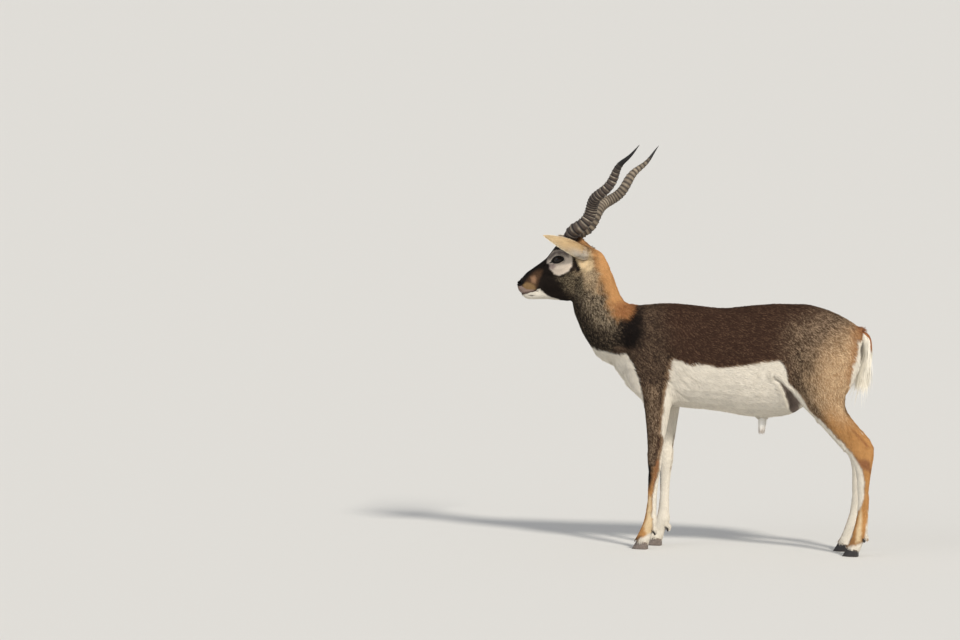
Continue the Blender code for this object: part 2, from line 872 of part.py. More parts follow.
def lock(root, heading, fall, length, width, thick, twist):
    """A flat tapered lock of hair that bends from its heading into its fall."""
    count = 3
    points = []
    here = root.copy()
    for k in range(count + 1):
        points.append(here.copy())
        t = k / count
        here += (heading * (1 - t) + fall * t).normalized() * (length / count)
    broad = Vector((math.sin(twist), math.cos(twist), 0))
    rings = []
    for k, (p, ahead, _, _) in enumerate(frames_along(points, broad)):
        t = k / count
        wide = (broad - ahead * broad.dot(ahead)).normalized()
        flat = ahead.cross(wide)
        w = width * (0.55 + 0.75 * t) * (1 - t**2.2) + 0.0004
        h = thick * (1 - 0.75 * t)
        rings.append([p + wide * w, p + flat * h, p - wide * w, p - flat * h])
    return tube(rings, "lock")


def make_tail():
    """The tail: a short haired core with white locks down its sides and back to its tip."""
    draw = random.Random(SEED)
    points, radii = tail_points()
    tail = round_tube(points[TAIL_CUT:], radii[TAIL_CUT:], 12, Vector((1, 0, 0)))
    locks = []
    for tier in range(TAIL_TIERS):
        t = tier / (TAIL_TIERS - 1)
        place = 7 + t * (len(points) - 9)
        k = int(place)
        here = points[k].lerp(points[k + 1], place - k)
        fall = Vector((-0.10 - 0.10 * t, 0, -1)).normalized()
        for spoke in TAIL_SPOKES:
            a = spoke * math.radians(112) + draw.uniform(-0.10, 0.10)
            away = Vector((math.cos(a), math.sin(a), 0))
            heading = (fall + away * 0.30).normalized()
            reach = here.z - TAIL_TIP_Z
            length = min(reach * 0.97, 0.074 + 0.012 * t) * draw.uniform(0.86, 1.04)
            root = here + away * (radii[k] * 0.55)
            locks.append(lock(root, heading, fall - away * 0.05, length, 0.0092, 0.0028, -a))
    combine_many(tail, locks, "UNION")
    keep_largest(tail)
    return tail


def sheath_tuft():
    """The small hanging tuft of the belly."""
    points = [Vector(p) * MM for p, _ in SHEATH]
    return round_tube(points, [r * MM for _, r in SHEATH], 12, Vector((1, 0, 0)))


def claw_level(x, share):
    """Where a point of the sole's outline stands at a share of the claw's height: x and z."""
    back = x / HOOF_LENGTH
    rise = CORONET_FRONT + (CORONET_BACK - CORONET_FRONT) * back
    return x + HOOF_LEAN * share * (1 - back), share * rise


def make_claw(toe, inner):
    """One claw of a cloven hoof, on a flat sole."""
    count = 5
    outline = []
    for i in range(count + 1):
        t = i / count
        wide = HOOF_HALF_WIDTH * (0.20 + 0.80 * math.sin(math.pi / 2 * min(1.0, t * 1.7)) ** 0.9)
        outline.append((t * HOOF_LENGTH, wide))
    outline.append((HOOF_LENGTH * 1.03, HOOF_HALF_WIDTH * 0.55))
    rings = []
    for share in (0.0, 0.5, 1.0):
        outer_wall = []
        inner_wall = []
        for x, wide in outline:
            ahead, height = claw_level(x, share)
            y = HOOF_CLEFT + wide * (1 - 0.08 * share)
            outer_wall.append(toe + Vector((ahead, inner * y, height)))
            inner_wall.append(toe + Vector((ahead, inner * HOOF_CLEFT, height)))
        rings.append(outer_wall + inner_wall[::-1])
    return tube(rings, "claw")


def finish(thing, name, ink):
    """Name a piece, dress it and shade it smooth up to sharp edges."""
    thing.name = name
    thing.data.name = name
    thing.data.materials.clear()
    thing.data.materials.append(material(ink))
    for polygon in thing.data.polygons:
        polygon.material_index = 0
    thing.data.shade_smooth()
    thing.data.set_sharp_from_angle(angle=math.radians(50))
    return thing


def make_legs():
    """Lower legs, feet and claws of all four legs."""
    for word, rows, shifts, hinge, toe_x in (
        ("fore", ARM, FORE_SHIFT, FORE_HINGE, -0.182),
        ("hind", THIGH, HIND_SHIFT, HIND_HINGE, 0.484),
    ):
        for side, label in ((LEFT, "left"), (RIGHT, "right")):
            shift = shifts[side]
            rings = leg_rings(rows[7:], side, shift, hinge, 20, 3)
            shells = [tube(rings), *dewclaws(rows, side, shift, hinge)]
            shank = blended("shank", shells, SHANK_VOXEL, 3, SHANK_TRIANGLES)
            keep_side(shank, *joint_plane(word, shift, hinge))
            foot = copy_of(shank, "foot")
            keep_side(shank, (0, 0, FETLOCK), (0, 0, -1))
            keep_side(foot, (0, 0, FETLOCK), (0, 0, 1))
            toe = Vector((toe_x + shift, side * rows[-1][5] * MM, 0))
            front_x, front_z = claw_level(0.0, 1.0)
            back_x, back_z = claw_level(HOOF_LENGTH, 1.0)
            below = Vector((back_z - front_z, 0, front_x - back_x)).normalized()
            keep_side(foot, toe + Vector((front_x, 0, front_z)) - below * (GAP / 2), below)
            finish(shank, f"{word}_{label}_cannon", "coat_tan")
            finish(foot, f"{word}_{label}_foot", "coat_white")
            for inner, claw in ((-side, "inner"), (side, "outer")):
                finish(make_claw(toe, inner), f"{word}_{label}_claw_{claw}", "hoof")


def dewclaws(rows, side, shift, hinge):
    """The two small claws behind a fetlock."""
    out = []
    for spread in (-1, 1):
        y = side * rows[-4][5] * MM + spread * 0.0085
        x = rows[-4][2] * MM + shift * swing(0.06, hinge)
        points = [Vector((x + ahead, y, z)) for ahead, z, _ in DEWCLAW]
        out.append(round_tube(points, [radius for _, _, radius in DEWCLAW], 10, Vector((0, 1, 0))))
    return out


def joint_plane(word, shift, hinge):
    """The cut above the wrist or the hock: a point and the direction across it."""
    if word == "fore":
        return Vector((0, 0, WRIST)), Vector((0, 0, 1))
    at = Vector((HOCK.x + shift * swing(HOCK.z, hinge), 0, HOCK.z))
    return at, HOCK_ACROSS


def part_limb(body, prism, side):
    """Cut one upper leg out of the body and hand it back as a piece of its own."""
    front, back, height, rise = prism
    limb = copy_of(body, "limb")
    combine(limb, limb_prism(front, back, side, height, rise, -GAP / 2), "INTERSECT")
    keep_largest(limb)
    combine(body, limb_prism(front, back, side, height, rise, GAP / 2), "DIFFERENCE")
    return limb


def make_body():
    """Neck, trunk and upper legs, parted from one skin."""
    shells = [
        body_loft(TRUNK, TRUNK_EGG, TRUNK_SQUARE),
        body_loft(NECK, NECK_EGG, NECK_SQUARE),
        *face_lofts(),
        tail_stub(),
        sheath_tuft(),
    ]
    for side in (LEFT, RIGHT):
        shells.append(tube(leg_rings(ARM[:12], side, FORE_SHIFT[side], FORE_HINGE, 24, 3)))
        shells.append(tube(leg_rings(THIGH[:13], side, HIND_SHIFT[side], HIND_HINGE, 24, 3)))
    body = blended("body", shells, BODY_VOXEL, 7, BODY_TRIANGLES)
    for side, label in ((LEFT, "left"), (RIGHT, "right")):
        arm = part_limb(body, ARM_PRISM, side)
        keep_side(arm, (0, 0, WRIST), (0, 0, -1))
        finish(arm, f"fore_{label}_arm", "coat_dark")
        thigh = part_limb(body, THIGH_PRISM, side)
        point, normal = joint_plane("hind", HIND_SHIFT[side], HIND_HINGE)
        keep_side(thigh, point, -normal)
        finish(thigh, f"hind_{label}_thigh", "coat_tan")
    keep_largest(body)
    points, radii = tail_points()
    tail_way = (points[TAIL_CUT + 1] - points[TAIL_CUT]).normalized()
    combine(body, disc_cutter(points[TAIL_CUT], tail_way, radii[TAIL_CUT] + 0.0045, 0.055), "DIFFERENCE")
    keep_largest(body)
    neck = copy_of(body, "neck")
    keep_side(neck, (NAPE + THROAT) / 2, -head_plane())
    keep_side(neck, COLLAR, COLLAR_ACROSS)
    keep_side(body, COLLAR, -COLLAR_ACROSS)
    chest = copy_of(body, "chest")
    keep_side(chest, (CHEST_END, 0, 0), (1, 0, 0))
    keep_side(body, (CHEST_END, 0, 0), (-1, 0, 0))
    loin = copy_of(body, "loin")
    keep_side(loin, (LOIN_END, 0, 0), (1, 0, 0))
    keep_side(body, (LOIN_END, 0, 0), (-1, 0, 0))
    finish(neck, "neck", "coat_dark")
    finish(chest, "torso_chest", "coat_dark")
    finish(loin, "torso_belly", "coat_dark")
    finish(body, "torso_rump", "coat_dark")


def rest_on_floor():
    """Put the middle of the whole model's box over the origin, with the soles on the floor."""
    low = Vector((1e9, 1e9, 1e9))
    high = -low
    for thing in bpy.data.objects:
        for vert in thing.data.vertices:
            for i in range(3):
                low[i] = min(low[i], vert.co[i])
                high[i] = max(high[i], vert.co[i])
    move = Vector((-(low.x + high.x) / 2, -(low.y + high.y) / 2, -low.z))
    for thing in bpy.data.objects:
        thing.data.transform(Matrix.Translation(move))


def main():
    clear_scene()
    make_body()
    make_legs()
    finish(make_head(), "head", "coat_dark")
    for side, label in ((LEFT, "left"), (RIGHT, "right")):
        finish(make_horn(side), f"horn_{label}", "horn")
        finish(make_ear(side), f"ear_{label}", "ear_buff")
        finish(make_eye(side), f"eye_{label}", "eye")
    finish(make_tail(), "tail", "coat_white")
    rest_on_floor()


main()
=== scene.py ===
"""The looks of a life-size blackbuck that stands still: skin, coat, head, horns, hooves and tail.

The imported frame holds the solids. Everything here is laid out in the animal's own axes, where it faces -X,
its left side is -Y and the floor is z = 0, and Maker carries each finished piece into the frame.
"""
import logging
import math
from collections.abc import Callable
from dataclasses import dataclass, field
from enum import Enum

import bpy
import numpy as np
from mathutils import Matrix, Vector
from mathutils.bvhtree import BVHTree


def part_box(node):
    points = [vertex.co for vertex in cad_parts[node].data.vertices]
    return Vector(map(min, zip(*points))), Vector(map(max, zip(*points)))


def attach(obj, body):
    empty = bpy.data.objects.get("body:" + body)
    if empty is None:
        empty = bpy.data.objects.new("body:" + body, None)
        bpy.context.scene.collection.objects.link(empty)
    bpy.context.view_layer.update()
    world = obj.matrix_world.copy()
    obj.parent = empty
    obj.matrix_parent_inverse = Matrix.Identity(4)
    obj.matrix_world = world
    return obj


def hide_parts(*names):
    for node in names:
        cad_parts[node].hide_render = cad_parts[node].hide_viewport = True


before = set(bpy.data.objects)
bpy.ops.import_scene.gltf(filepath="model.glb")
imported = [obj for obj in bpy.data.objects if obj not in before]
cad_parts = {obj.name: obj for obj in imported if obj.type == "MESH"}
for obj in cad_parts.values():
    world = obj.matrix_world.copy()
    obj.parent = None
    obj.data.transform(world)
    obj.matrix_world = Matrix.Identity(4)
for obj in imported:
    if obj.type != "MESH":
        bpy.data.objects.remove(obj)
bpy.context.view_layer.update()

Array = np.ndarray
Material = bpy.types.Material
Thing = bpy.types.Object
Socket = bpy.types.NodeSocket
Triple = tuple[float, float, float]
Outline = tuple[tuple[float, float], ...]

LOG = logging.getLogger("blackbuck")
MM = 0.001
SEED = 23
BODY = "root"
COLOUR_LAYER = "Fur"
BAKE_MAP = "OFBake"
PATCH = 0.003


class Side(Enum):
    """The two sides of the animal, by the sign of y."""

    LEFT = -1
    RIGHT = 1

    @property
    def word(self) -> str:
        """The side as pieces' names have it."""
        return self.name.lower()

    @property
    def mirror(self) -> Triple:
        """What the places of the right side are multiplied by to stand on this one."""
        return (1, self.value, 1)


class Limb(Enum):
    """The four legs, by the words that their solids' names start with."""

    FORE_LEFT = "fore_left"
    FORE_RIGHT = "fore_right"
    HIND_LEFT = "hind_left"
    HIND_RIGHT = "hind_right"

    @property
    def side(self) -> Side:
        """The side of the animal that the leg is on."""
        return Side.LEFT if self.value.endswith("left") else Side.RIGHT

    @property
    def fore(self) -> bool:
        """Whether it is a foreleg."""
        return self.value.startswith("fore")


def tone(red: float, green: float, blue: float) -> Array:
    """A colour as a screen shows it, 0 to 255 a channel, as linear light."""
    share = np.array((red, green, blue), dtype=float) / 255.0
    return np.where(share <= 0.04045, share / 12.92, ((share + 0.055) / 1.055) ** 2.4)


def step_between(value: Array, low: float, high: float) -> Array:
    """A smooth rise from 0 at low to 1 at high."""
    t = np.clip((value - low) / (high - low), 0.0, 1.0)
    return t * t * (3 - 2 * t)


def mix(first: Array, second: Array, share: Array | float) -> Array:
    """The first value where the share is 0, the second where it is 1, and a mixture between."""
    return first * (1 - share) + second * share


def circle(count: int) -> Array:
    """Angles evenly round a circle."""
    return np.arange(count) / count * 2 * math.pi


def unit(vectors: Array) -> Array:
    """The vectors at length 1."""
    return vectors / np.maximum(np.linalg.norm(vectors, axis=-1, keepdims=True), 1e-12)


def cell_values(cells: Array, seed: int) -> Array:
    """One random value from -1 to 1 for each cell of space, the same each time."""
    table = np.random.default_rng(seed).uniform(-1, 1, 4096)
    key = cells * (73856093, 19349663, 83492791)
    return table[(key[:, 0] ^ key[:, 1] ^ key[:, 2]) & 4095]


def mottle(points: Array, size: float, seed: int) -> Array:
    """Smooth random values from -1 to 1 over space.

    Args:
        points: Places, in metres.
        size: Distance over which the value changes.
        seed: Which random field is read.

    Returns:
        One value a place.
    """
    scaled = points / size + 1000.0
    low = np.floor(scaled).astype(np.int64)
    t = scaled - low
    t = t * t * (3 - 2 * t)
    total = np.zeros(len(points))
    for corner in range(8):
        step = np.array((corner & 1, corner >> 1 & 1, corner >> 2 & 1))
        weight = np.prod(np.where(step == 1, t, 1 - t), axis=1)
        total += weight * cell_values(low + step, seed)
    return total


def speckle(points: Array, size: float, seed: int) -> Array:
    """Random values from -1 to 1 that are the same within small crumbs of space.

    Args:
        points: Places, in metres.
        size: Width of a crumb.
        seed: Which random field is read.

    Returns:
        One value a place.
    """
    bent = points + 0.6 * size * np.stack([mottle(points, size * 1.3, seed + k) for k in (1, 2, 3)], 1)
    return cell_values(np.floor(bent / size + 1000.0).astype(np.int64), seed)


def fetch(rows: bpy.types.bpy_prop_collection, what: str, width: int, kind: type = float) -> Array:
    """One value of every item of a mesh's list, as rows of the given width."""
    out = np.empty(len(rows) * width, dtype=kind)
    rows.foreach_get(what, out)
    return out.reshape(-1, width)


def add_object(name: str, data: bpy.types.ID) -> Thing:
    """A new object of the scene."""
    thing = bpy.data.objects.new(name, data)
    bpy.context.scene.collection.objects.link(thing)
    return thing


def within(spots: Array, line: Array, margin: float) -> Array:
    """Numbers of the places that lie in the box round a line, widened by a margin."""
    low = line.min(axis=0) - margin
    high = line.max(axis=0) + margin
    return np.flatnonzero(((spots > low) & (spots < high)).all(axis=1))


def away_from(spots: Array, a: Array, b: Array) -> Array:
    """The way to each place from the nearest point between a and b."""
    along = b - a
    t = np.clip((spots - a) @ along / max(along @ along, 1e-9), 0, 1)
    return spots - a - t[:, None] * along


@dataclass(frozen=True)
class Build:
    """Driving sizes that the solids were made from, in the animal's own axes."""

    chest_end: float = 0.030
    gap: float = 0.0003
    head_roll: float = math.radians(-3.0)
    head_pivot: Vector = Vector((-0.42, 0.0, 0.87))
    nape: Vector = Vector((-0.274, 0.0, 0.874))
    throat: Vector = Vector((-0.391, 0.0, 0.752))
    roll_reach: float = 0.075
    fore_shift: float = 0.022
    hind_shift: float = -0.050
    fore_hinge: float = 0.52
    hind_hinge: float = 0.62
    fore_middle: float = 0.062
    hind_middle: float = 0.070

    def offset(self) -> Vector:
        """Where the animal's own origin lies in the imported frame."""
        low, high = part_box("torso_belly")
        return Vector((low[0] - self.chest_end - self.gap / 2, (low[1] + high[1]) / 2, 0.0))

    def roll_share(self, points: Array) -> Array:
        """How much of the head's tilt each place takes: none behind the cut, all well ahead of it.

        Args:
            points: Places as rows of x, y and z.

        Returns:
            A share from 0 to 1 a place.
        """
        line = self.nape - self.throat
        plane = np.array((line.z, 0.0, -line.x)) / line.length
        middle = np.array((self.nape + self.throat) / 2)
        share = np.clip((middle - points) @ plane / self.roll_reach, 0.0, 1.0)
        return share * share * (3 - 2 * share)

    def rolled(self, points: Array, back: bool = False) -> Array:
        """The places of a level head, moved to where the tilted head has them.

        Args:
            points: Places as rows of x, y and z.
            back: Whether the tilt is taken away instead.

        Returns:
            The moved places.
        """
        lean = self.roll_share(points) * self.head_roll * (-1 if back else 1)
        pivot = np.array(self.head_pivot)
        x, y, z = (points - pivot).T
        turned = np.stack((x, y * np.cos(lean) - z * np.sin(lean), y * np.sin(lean) + z * np.cos(lean)), 1)
        return turned + pivot

    def leg_shift(self, limb: Limb, z: Array) -> Array:
        """How far a leg of the right side stands back from its left fellow at a height.

        Args:
            limb: The leg.
            z: Heights above the floor.

        Returns:
            The shift at each height.
        """
        if limb.side is Side.LEFT:
            return np.zeros_like(z)
        shift, hinge = (self.fore_shift, self.fore_hinge) if limb.fore else (self.hind_shift, self.hind_hinge)
        return shift * np.maximum(0.0, 1 - z / hinge) ** 0.7


BUILD = Build()


@dataclass
class Sheet:
    """A surface of four-sided faces, with a few of more sides where a finer stretch meets a coarser one."""

    points: Array
    quads: Array
    rims: list[tuple[int, ...]] = field(default_factory=list)

    def edges(self) -> Array:
        """Each edge once, as pairs of point numbers."""
        pairs = np.stack([self.quads, np.roll(self.quads, -1, axis=1)], axis=-1).reshape(-1, 2)
        extra = [(a, b) for rim in self.rims for a, b in zip(rim, rim[1:] + rim[:1])]
        if extra:
            pairs = np.vstack([pairs, np.array(extra)])
        pairs.sort(axis=1)
        keys = np.unique(pairs[:, 0].astype(np.int64) * len(self.points) + pairs[:, 1])
        return np.stack([keys // len(self.points), keys % len(self.points)], axis=1)

    def averager(self) -> Callable[[Array], Array]:
        """A function that turns a value a point into the mean of its neighbours' values."""
        a, b = self.edges().T
        count = len(self.points)
        near = np.maximum(np.bincount(a, minlength=count) + np.bincount(b, minlength=count), 1)
        return lambda row: (np.bincount(a, row[b], count) + np.bincount(b, row[a], count)) / near

    def triangles(self) -> Array:
        """The surface as triangles."""
        halves = [self.quads[:, (0, 1, 2)], self.quads[:, (0, 2, 3)]]
        fans = [(rim[0], rim[k], rim[k + 1]) for rim in self.rims for k in range(1, len(rim) - 1)]
        if fans:
            halves.append(np.array(fans))
        return np.concatenate(halves)

    def normals(self) -> Array:
        """Outward direction at each point."""
        tris = self.triangles()
        a, b, c = (self.points[tris[:, k]] for k in range(3))
        flat = np.cross(b - a, c - a)
        total = np.zeros_like(self.points)
        for k in range(3):
            for axis in range(3):
                total[:, axis] += np.bincount(tris[:, k], flat[:, axis], len(self.points))
        return unit(total)

    def spread(self, values: Array, passes: int) -> Array:
        """Values of the points, evened out between neighbours.

        Args:
            values: A value or a row of values a point.
            passes: How often they are evened out.

        Returns:
            The evened values.
        """
        around = self.averager()
        out = np.array(values, dtype=float).reshape(len(self.points), -1)
        for _ in range(passes):
            for axis in range(out.shape[1]):
                out[:, axis] = 0.5 * out[:, axis] + 0.5 * around(out[:, axis])
        return out.reshape(np.shape(values))

    def relax(self, strength: Array, passes: int) -> None:
        """Smooth the surface without shrinking it.

        Args:
            strength: Share of the smoothing that each point takes.
            passes: How often the smoothing is done.
        """
        around = self.averager()
        for _ in range(passes):
            for pull in (0.5, -0.53):
                moved = np.empty_like(self.points)
                for axis in range(3):
                    row = self.points[:, axis]
                    moved[:, axis] = row + (around(row) - row) * pull * strength
                self.points = moved

    def refine(self, chosen: Array) -> None:
        """Split each chosen four-sided face into four.

        Args:
            chosen: Which of the four-sided faces are split.
        """
        split = self.quads[chosen]
        rest = self.quads[~chosen]
        count = len(self.points)

        def keys(quads: Array) -> Array:
            """One number for each side of each face."""
            after = np.roll(quads, -1, axis=1)
            return np.minimum(quads, after).astype(np.int64) * count + np.maximum(quads, after)

        wanted, back = np.unique(keys(split), return_inverse=True)
        back = back.reshape(-1, 4)
        halves = (self.points[wanted // count] + self.points[wanted % count]) / 2
        centres = self.points[split].mean(axis=1)
        mids = count + back
        middle = count + len(wanted) + np.arange(len(split))
        fresh = [np.stack([split[:, k], mids[:, k], middle, mids[:, k - 1]], 1) for k in range(4)]
        lookup = {int(key): count + n for n, key in enumerate(wanted)}
        touched = np.isin(keys(rest), wanted).any(axis=1)
        rims = []
        for face in [tuple(int(v) for v in row) for row in rest[touched]] + self.rims:
            ring = []
            for a, b in zip(face, face[1:] + face[:1]):
                ring.append(a)
                between = lookup.get(min(a, b) * count + max(a, b))
                if between is not None:
                    ring.append(between)
            rims.append(tuple(ring))
        self.points = np.vstack([self.points, halves, centres])
        self.quads = np.concatenate([rest[~touched], *fresh])
        self.rims = rims


class Maker:
    """Turns arrays in the animal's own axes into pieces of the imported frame."""

    offset = np.array(BUILD.offset())

    @classmethod
    def piece(
        cls,
        name: str,
        points: Array,
        faces: list,
        finish: Material,
        slot: str,
        replaces: tuple[str, ...] = (),
        smooth: bool = True,
    ) -> Thing:
        """Make one piece that rides on the body.

        Args:
            name: Name of the piece.
            points: Places in the animal's own axes.
            faces: Arrays of faces with the same number of sides each, or lists of point numbers.
            finish: Its material.
            slot: Name of the record's material slot; not used.
            replaces: Solids that it stands for.
            smooth: Whether its faces shade into one another.

        Returns:
            The new object.
        """
        mesh = bpy.data.meshes.new(name)
        corners = []
        sizes = []
        for group in faces:
            if isinstance(group, Array):
                corners.append(group.reshape(-1))
                sizes.append(np.full(len(group), group.shape[1]))
            else:
                corners.append(np.array([v for face in group for v in face], dtype=int))
                sizes.append(np.array([len(face) for face in group], dtype=int))
        corners = np.concatenate(corners).astype(np.int32)
        sizes = np.concatenate(sizes).astype(np.int32)
        mesh.vertices.add(len(points))
        mesh.vertices.foreach_set("co", (points + cls.offset).astype(np.float32).reshape(-1))
        mesh.loops.add(len(corners))
        mesh.loops.foreach_set("vertex_index", corners)
        mesh.polygons.add(len(sizes))
        starts = np.concatenate([[0], np.cumsum(sizes)[:-1]]).astype(np.int32)
        mesh.polygons.foreach_set("loop_start", starts)
        mesh.polygons.foreach_set("use_smooth", np.full(len(sizes), smooth))
        mesh.update(calc_edges=True)
        mesh.validate()
        mesh.materials.append(finish)
        piece = add_object(name, mesh)
        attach(piece, BODY)
        if replaces:
            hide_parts(*replaces)
        return piece

    @classmethod
    def tube(
        cls,
        name: str,
        rings: list[Array] | Array,
        colours: list[Array],
        finish: Material,
        slot: str,
        replaces: tuple[str, ...] = (),
        tilted: bool = False,
        flip: bool = False,
    ) -> Thing:
        """Make one closed tube through rings of points.

        Args:
            name: Name of the piece.
            rings: Its rings.
            colours: Colours of the points of each ring.
            finish: Its material.
            slot: Name of the record's material slot, passed on to Maker.piece, which does not use it.
            replaces: Solids that it stands for.
            tilted: Whether it is given on the level head and takes the head's tilt.
            flip: Whether its faces have to be turned round.

        Returns:
            The new object.
        """
        places, faces = sweep(np.array(rings))
        piece = cls.piece(name, BUILD.rolled(places) if tilted else places, faces, finish, slot, replaces)
        if flip:
            piece.data.flip_normals()
        cls.colour(piece, np.concatenate(colours))
        return piece

    @staticmethod
    def colour(piece: Thing, colours: Array, bare: Array | None = None) -> None:
        """Store a colour for each point of a piece, for its material to read.

        Args:
            piece: The piece.
            colours: A colour a point.
            bare: Share of bare moist skin at each point, kept in the colour's fourth channel.
        """
        layer = piece.data.color_attributes.new(COLOUR_LAYER, "FLOAT_COLOR", "POINT")
        rows = np.ones((len(colours), 4), dtype=np.float32)
        rows[:, :3] = colours
        if bare is not None:
            rows[:, 3] = 1 - bare
        layer.data.foreach_set("color", rows.reshape(-1))

    @staticmethod
    def unwrap(piece: Thing, places: Array) -> None:
        """Give a piece the map that its colours are baked on, from one place for each point."""
        layer = piece.data.uv_layers.new(name=BAKE_MAP)
        corners = fetch(piece.data.loops, "vertex_index", 1, np.int32)[:, 0]
        layer.data.foreach_set("uv", places[corners].astype(np.float32).reshape(-1))


class Wiring:
    """A small helper that lays out the nodes of one material."""

    def __init__(self, name: str) -> None:
        """Start an empty material with its shader and output."""
        self.material = bpy.data.materials.new(name)
        self.material.use_nodes = True
        self.tree = self.material.node_tree
        self.tree.nodes.clear()
        self.output = self.tree.nodes.new("ShaderNodeOutputMaterial")
        self.shader = self.tree.nodes.new("ShaderNodeBsdfPrincipled")
        self.link(self.shader.outputs["BSDF"], self.output.inputs["Surface"])

    def link(self, source: Socket, target: Socket) -> None:
        """Join two sockets."""
        self.tree.links.new(source, target)

    def add(self, kind: str, **settings: object) -> bpy.types.Node:
        """Add a node and set its own properties."""
        node = self.tree.nodes.new("ShaderNode" + kind)
        for name, value in settings.items():
            setattr(node, name, value)
        return node

    def fix(self, **values: object) -> None:
        """Set constants on the shader's own sockets, spaces in their names written as underscores."""
        for name, value in values.items():
            self.shader.inputs[name.replace("_", " ")].default_value = value

    def noise(self, scale: float, detail: float = 3.0, stretch: Triple = (1, 1, 1)) -> Socket:
        """A noise over the object's own coordinates, closer along the axes with the larger stretch.

        Args:
            scale: How fine the noise is.
            detail: How many finer layers it has.
            stretch: How much closer it is along each axis.

        Returns:
            The noise's value.
        """
        place = self.add("TexCoord")
        mapping = self.add("Mapping")
        mapping.inputs["Scale"].default_value = stretch
        self.link(place.outputs["Object"], mapping.inputs["Vector"])
        noise = self.add("TexNoise")
        noise.inputs["Scale"].default_value = scale
        noise.inputs["Detail"].default_value = detail
        self.link(mapping.outputs["Vector"], noise.inputs["Vector"])
        return noise.outputs["Fac"]

    def spread(self, value: Socket, low: float, high: float) -> Socket:
        """A value from 0 to 1 mapped onto low to high.

        Args:
            value: The value to map.
            low: What its low end becomes.
            high: What its high end becomes.

        Returns:
            The mapped value.
        """
        node = self.add("MapRange")
        node.inputs["From Min"].default_value = 0.25
        node.inputs["From Max"].default_value = 0.75
        node.inputs["To Min"].default_value = low
        node.inputs["To Max"].default_value = high
        self.link(value, node.inputs["Value"])
        return node.outputs["Result"]

    def blend(self, share: Socket | float, first: Socket | Array, second: Socket | Array) -> Socket:
        """Two colours mixed by a share, each given as a socket or as a plain colour.

        Args:
            share: Share of the second colour.
            first: The first colour.
            second: The second colour.

        Returns:
            The mixed colour.
        """
        node = self.add("Mix", data_type="RGBA")
        for socket, value in ((node.inputs[0], share), (node.inputs[6], first), (node.inputs[7], second)):
            if isinstance(value, Socket):
                self.link(value, socket)
            elif isinstance(value, (int, float)):
                socket.default_value = value
            else:
                socket.default_value = (*[float(v) for v in value], 1.0)
        return node.outputs[2]

    def scaled(self, colour: Socket, factor: Socket) -> Socket:
        """A colour made lighter or darker by a factor."""
        node = self.add("VectorMath", operation="SCALE")
        self.link(colour, node.inputs[0])
        self.link(factor, node.inputs["Scale"])
        return node.outputs[0]

    def paint(self, *grains: tuple[Socket, float, float]) -> bpy.types.Node:
        """Take the piece's own stored colour, made darker and lighter by each grain in turn.

        Args:
            *grains: Each a value, and the factors that its low and its high end scale the colour by.

        Returns:
            The node that reads the stored colour.
        """
        stored = self.add("VertexColor", layer_name=COLOUR_LAYER)
        lit = stored.outputs["Color"]
        for grain, low, high in grains:
            lit = self.scaled(lit, self.spread(grain, low, high))
        self.link(lit, self.shader.inputs["Base Color"])
        return stored

    def bump(self, height: Socket, strength: float, distance: float) -> None:
        """Raise the surface's shading by a height.

        Args:
            height: The height.
            strength: How much of it shows, from 0 to 1.
            distance: Its full depth in metres.
        """
        node = self.add("Bump")
        node.inputs["Strength"].default_value = strength
        node.inputs["Distance"].default_value = distance
        self.link(height, node.inputs["Height"])
        self.link(node.outputs["Normal"], self.shader.inputs["Normal"])


@dataclass(frozen=True)
class FurFinish:
    """Short hair: its colour comes from the markings, broken up by a fine grain."""

    name: str
    roughness: float = 0.66
    sheen: float = 0.02
    grain: float = 650.0
    contrast: float = 0.22
    relief: float = 0.0006

    def make(self) -> Material:
        """Make the material."""
        w = Wiring(self.name)
        fine = w.noise(self.grain, 4.0)
        stored = w.paint((fine, 1 - self.contrast, 1 + self.contrast), (w.noise(28.0, 2.0), 0.93, 1.07))
        moist = w.add("MapRange")
        moist.inputs["To Min"].default_value = 0.34
        moist.inputs["To Max"].default_value = self.roughness
        w.link(stored.outputs["Alpha"], moist.inputs["Value"])
        w.link(moist.outputs["Result"], w.shader.inputs["Roughness"])
        w.fix(Sheen_Weight=self.sheen, Sheen_Roughness=0.5, Specular_IOR_Level=0.09)
        if self.relief:
            w.bump(fine, 0.6, self.relief)
        return w.material


@dataclass(frozen=True)
class HornFinish:
    """Ringed horn: grooves dark with painted shade, crests pale from wear and painted highlight, fine
    lengthwise fibres, smooth black tip.
    """

    name: str = "ringed_horn"

    def make(self) -> Material:
        """Make the material."""
        w = Wiring(self.name)
        fibre = w.noise(900.0, 3.0, (1.0, 1.0, 0.25))
        stain = w.noise(55.0, 4.0)
        w.paint((fibre, 0.78, 1.22), (stain, 0.85, 1.15))
        w.link(w.spread(stain, 0.58, 0.80), w.shader.inputs["Roughness"])
        w.bump(fibre, 0.6, 0.0008)
        return w.material


@dataclass(frozen=True)
class HoofFinish:
    """Hoof horn: near black, with growth bands round it and scuffed paler edges."""

    name: str = "hoof_horn"

    def make(self) -> Material:
        """Make the material."""
        w = Wiring(self.name)
        bands = w.noise(420.0, 3.0, (0.15, 0.15, 1.0))
        scuff = w.noise(130.0, 5.0)
        w.paint((bands, 0.75, 1.3), (scuff, 0.8, 1.25))
        w.link(w.spread(scuff, 0.38, 0.6), w.shader.inputs["Roughness"])
        w.bump(bands, 0.5, 0.0005)
        return w.material


@dataclass(frozen=True)
class EyeFinish:
    """The wet eyeball: dark brown iris, black pupil and a clear coat."""

    name: str = "wet_eye"

    def make(self) -> Material:
        """Make the material."""
        w = Wiring(self.name)
        rays = w.noise(700.0, 3.0)
        w.paint((rays, 0.75, 1.25))
        w.fix(Roughness=0.10, Coat_Weight=0.12, Coat_Roughness=0.03, Specular_IOR_Level=0.22)
        w.bump(rays, 0.04, 0.0001)
        return w.material


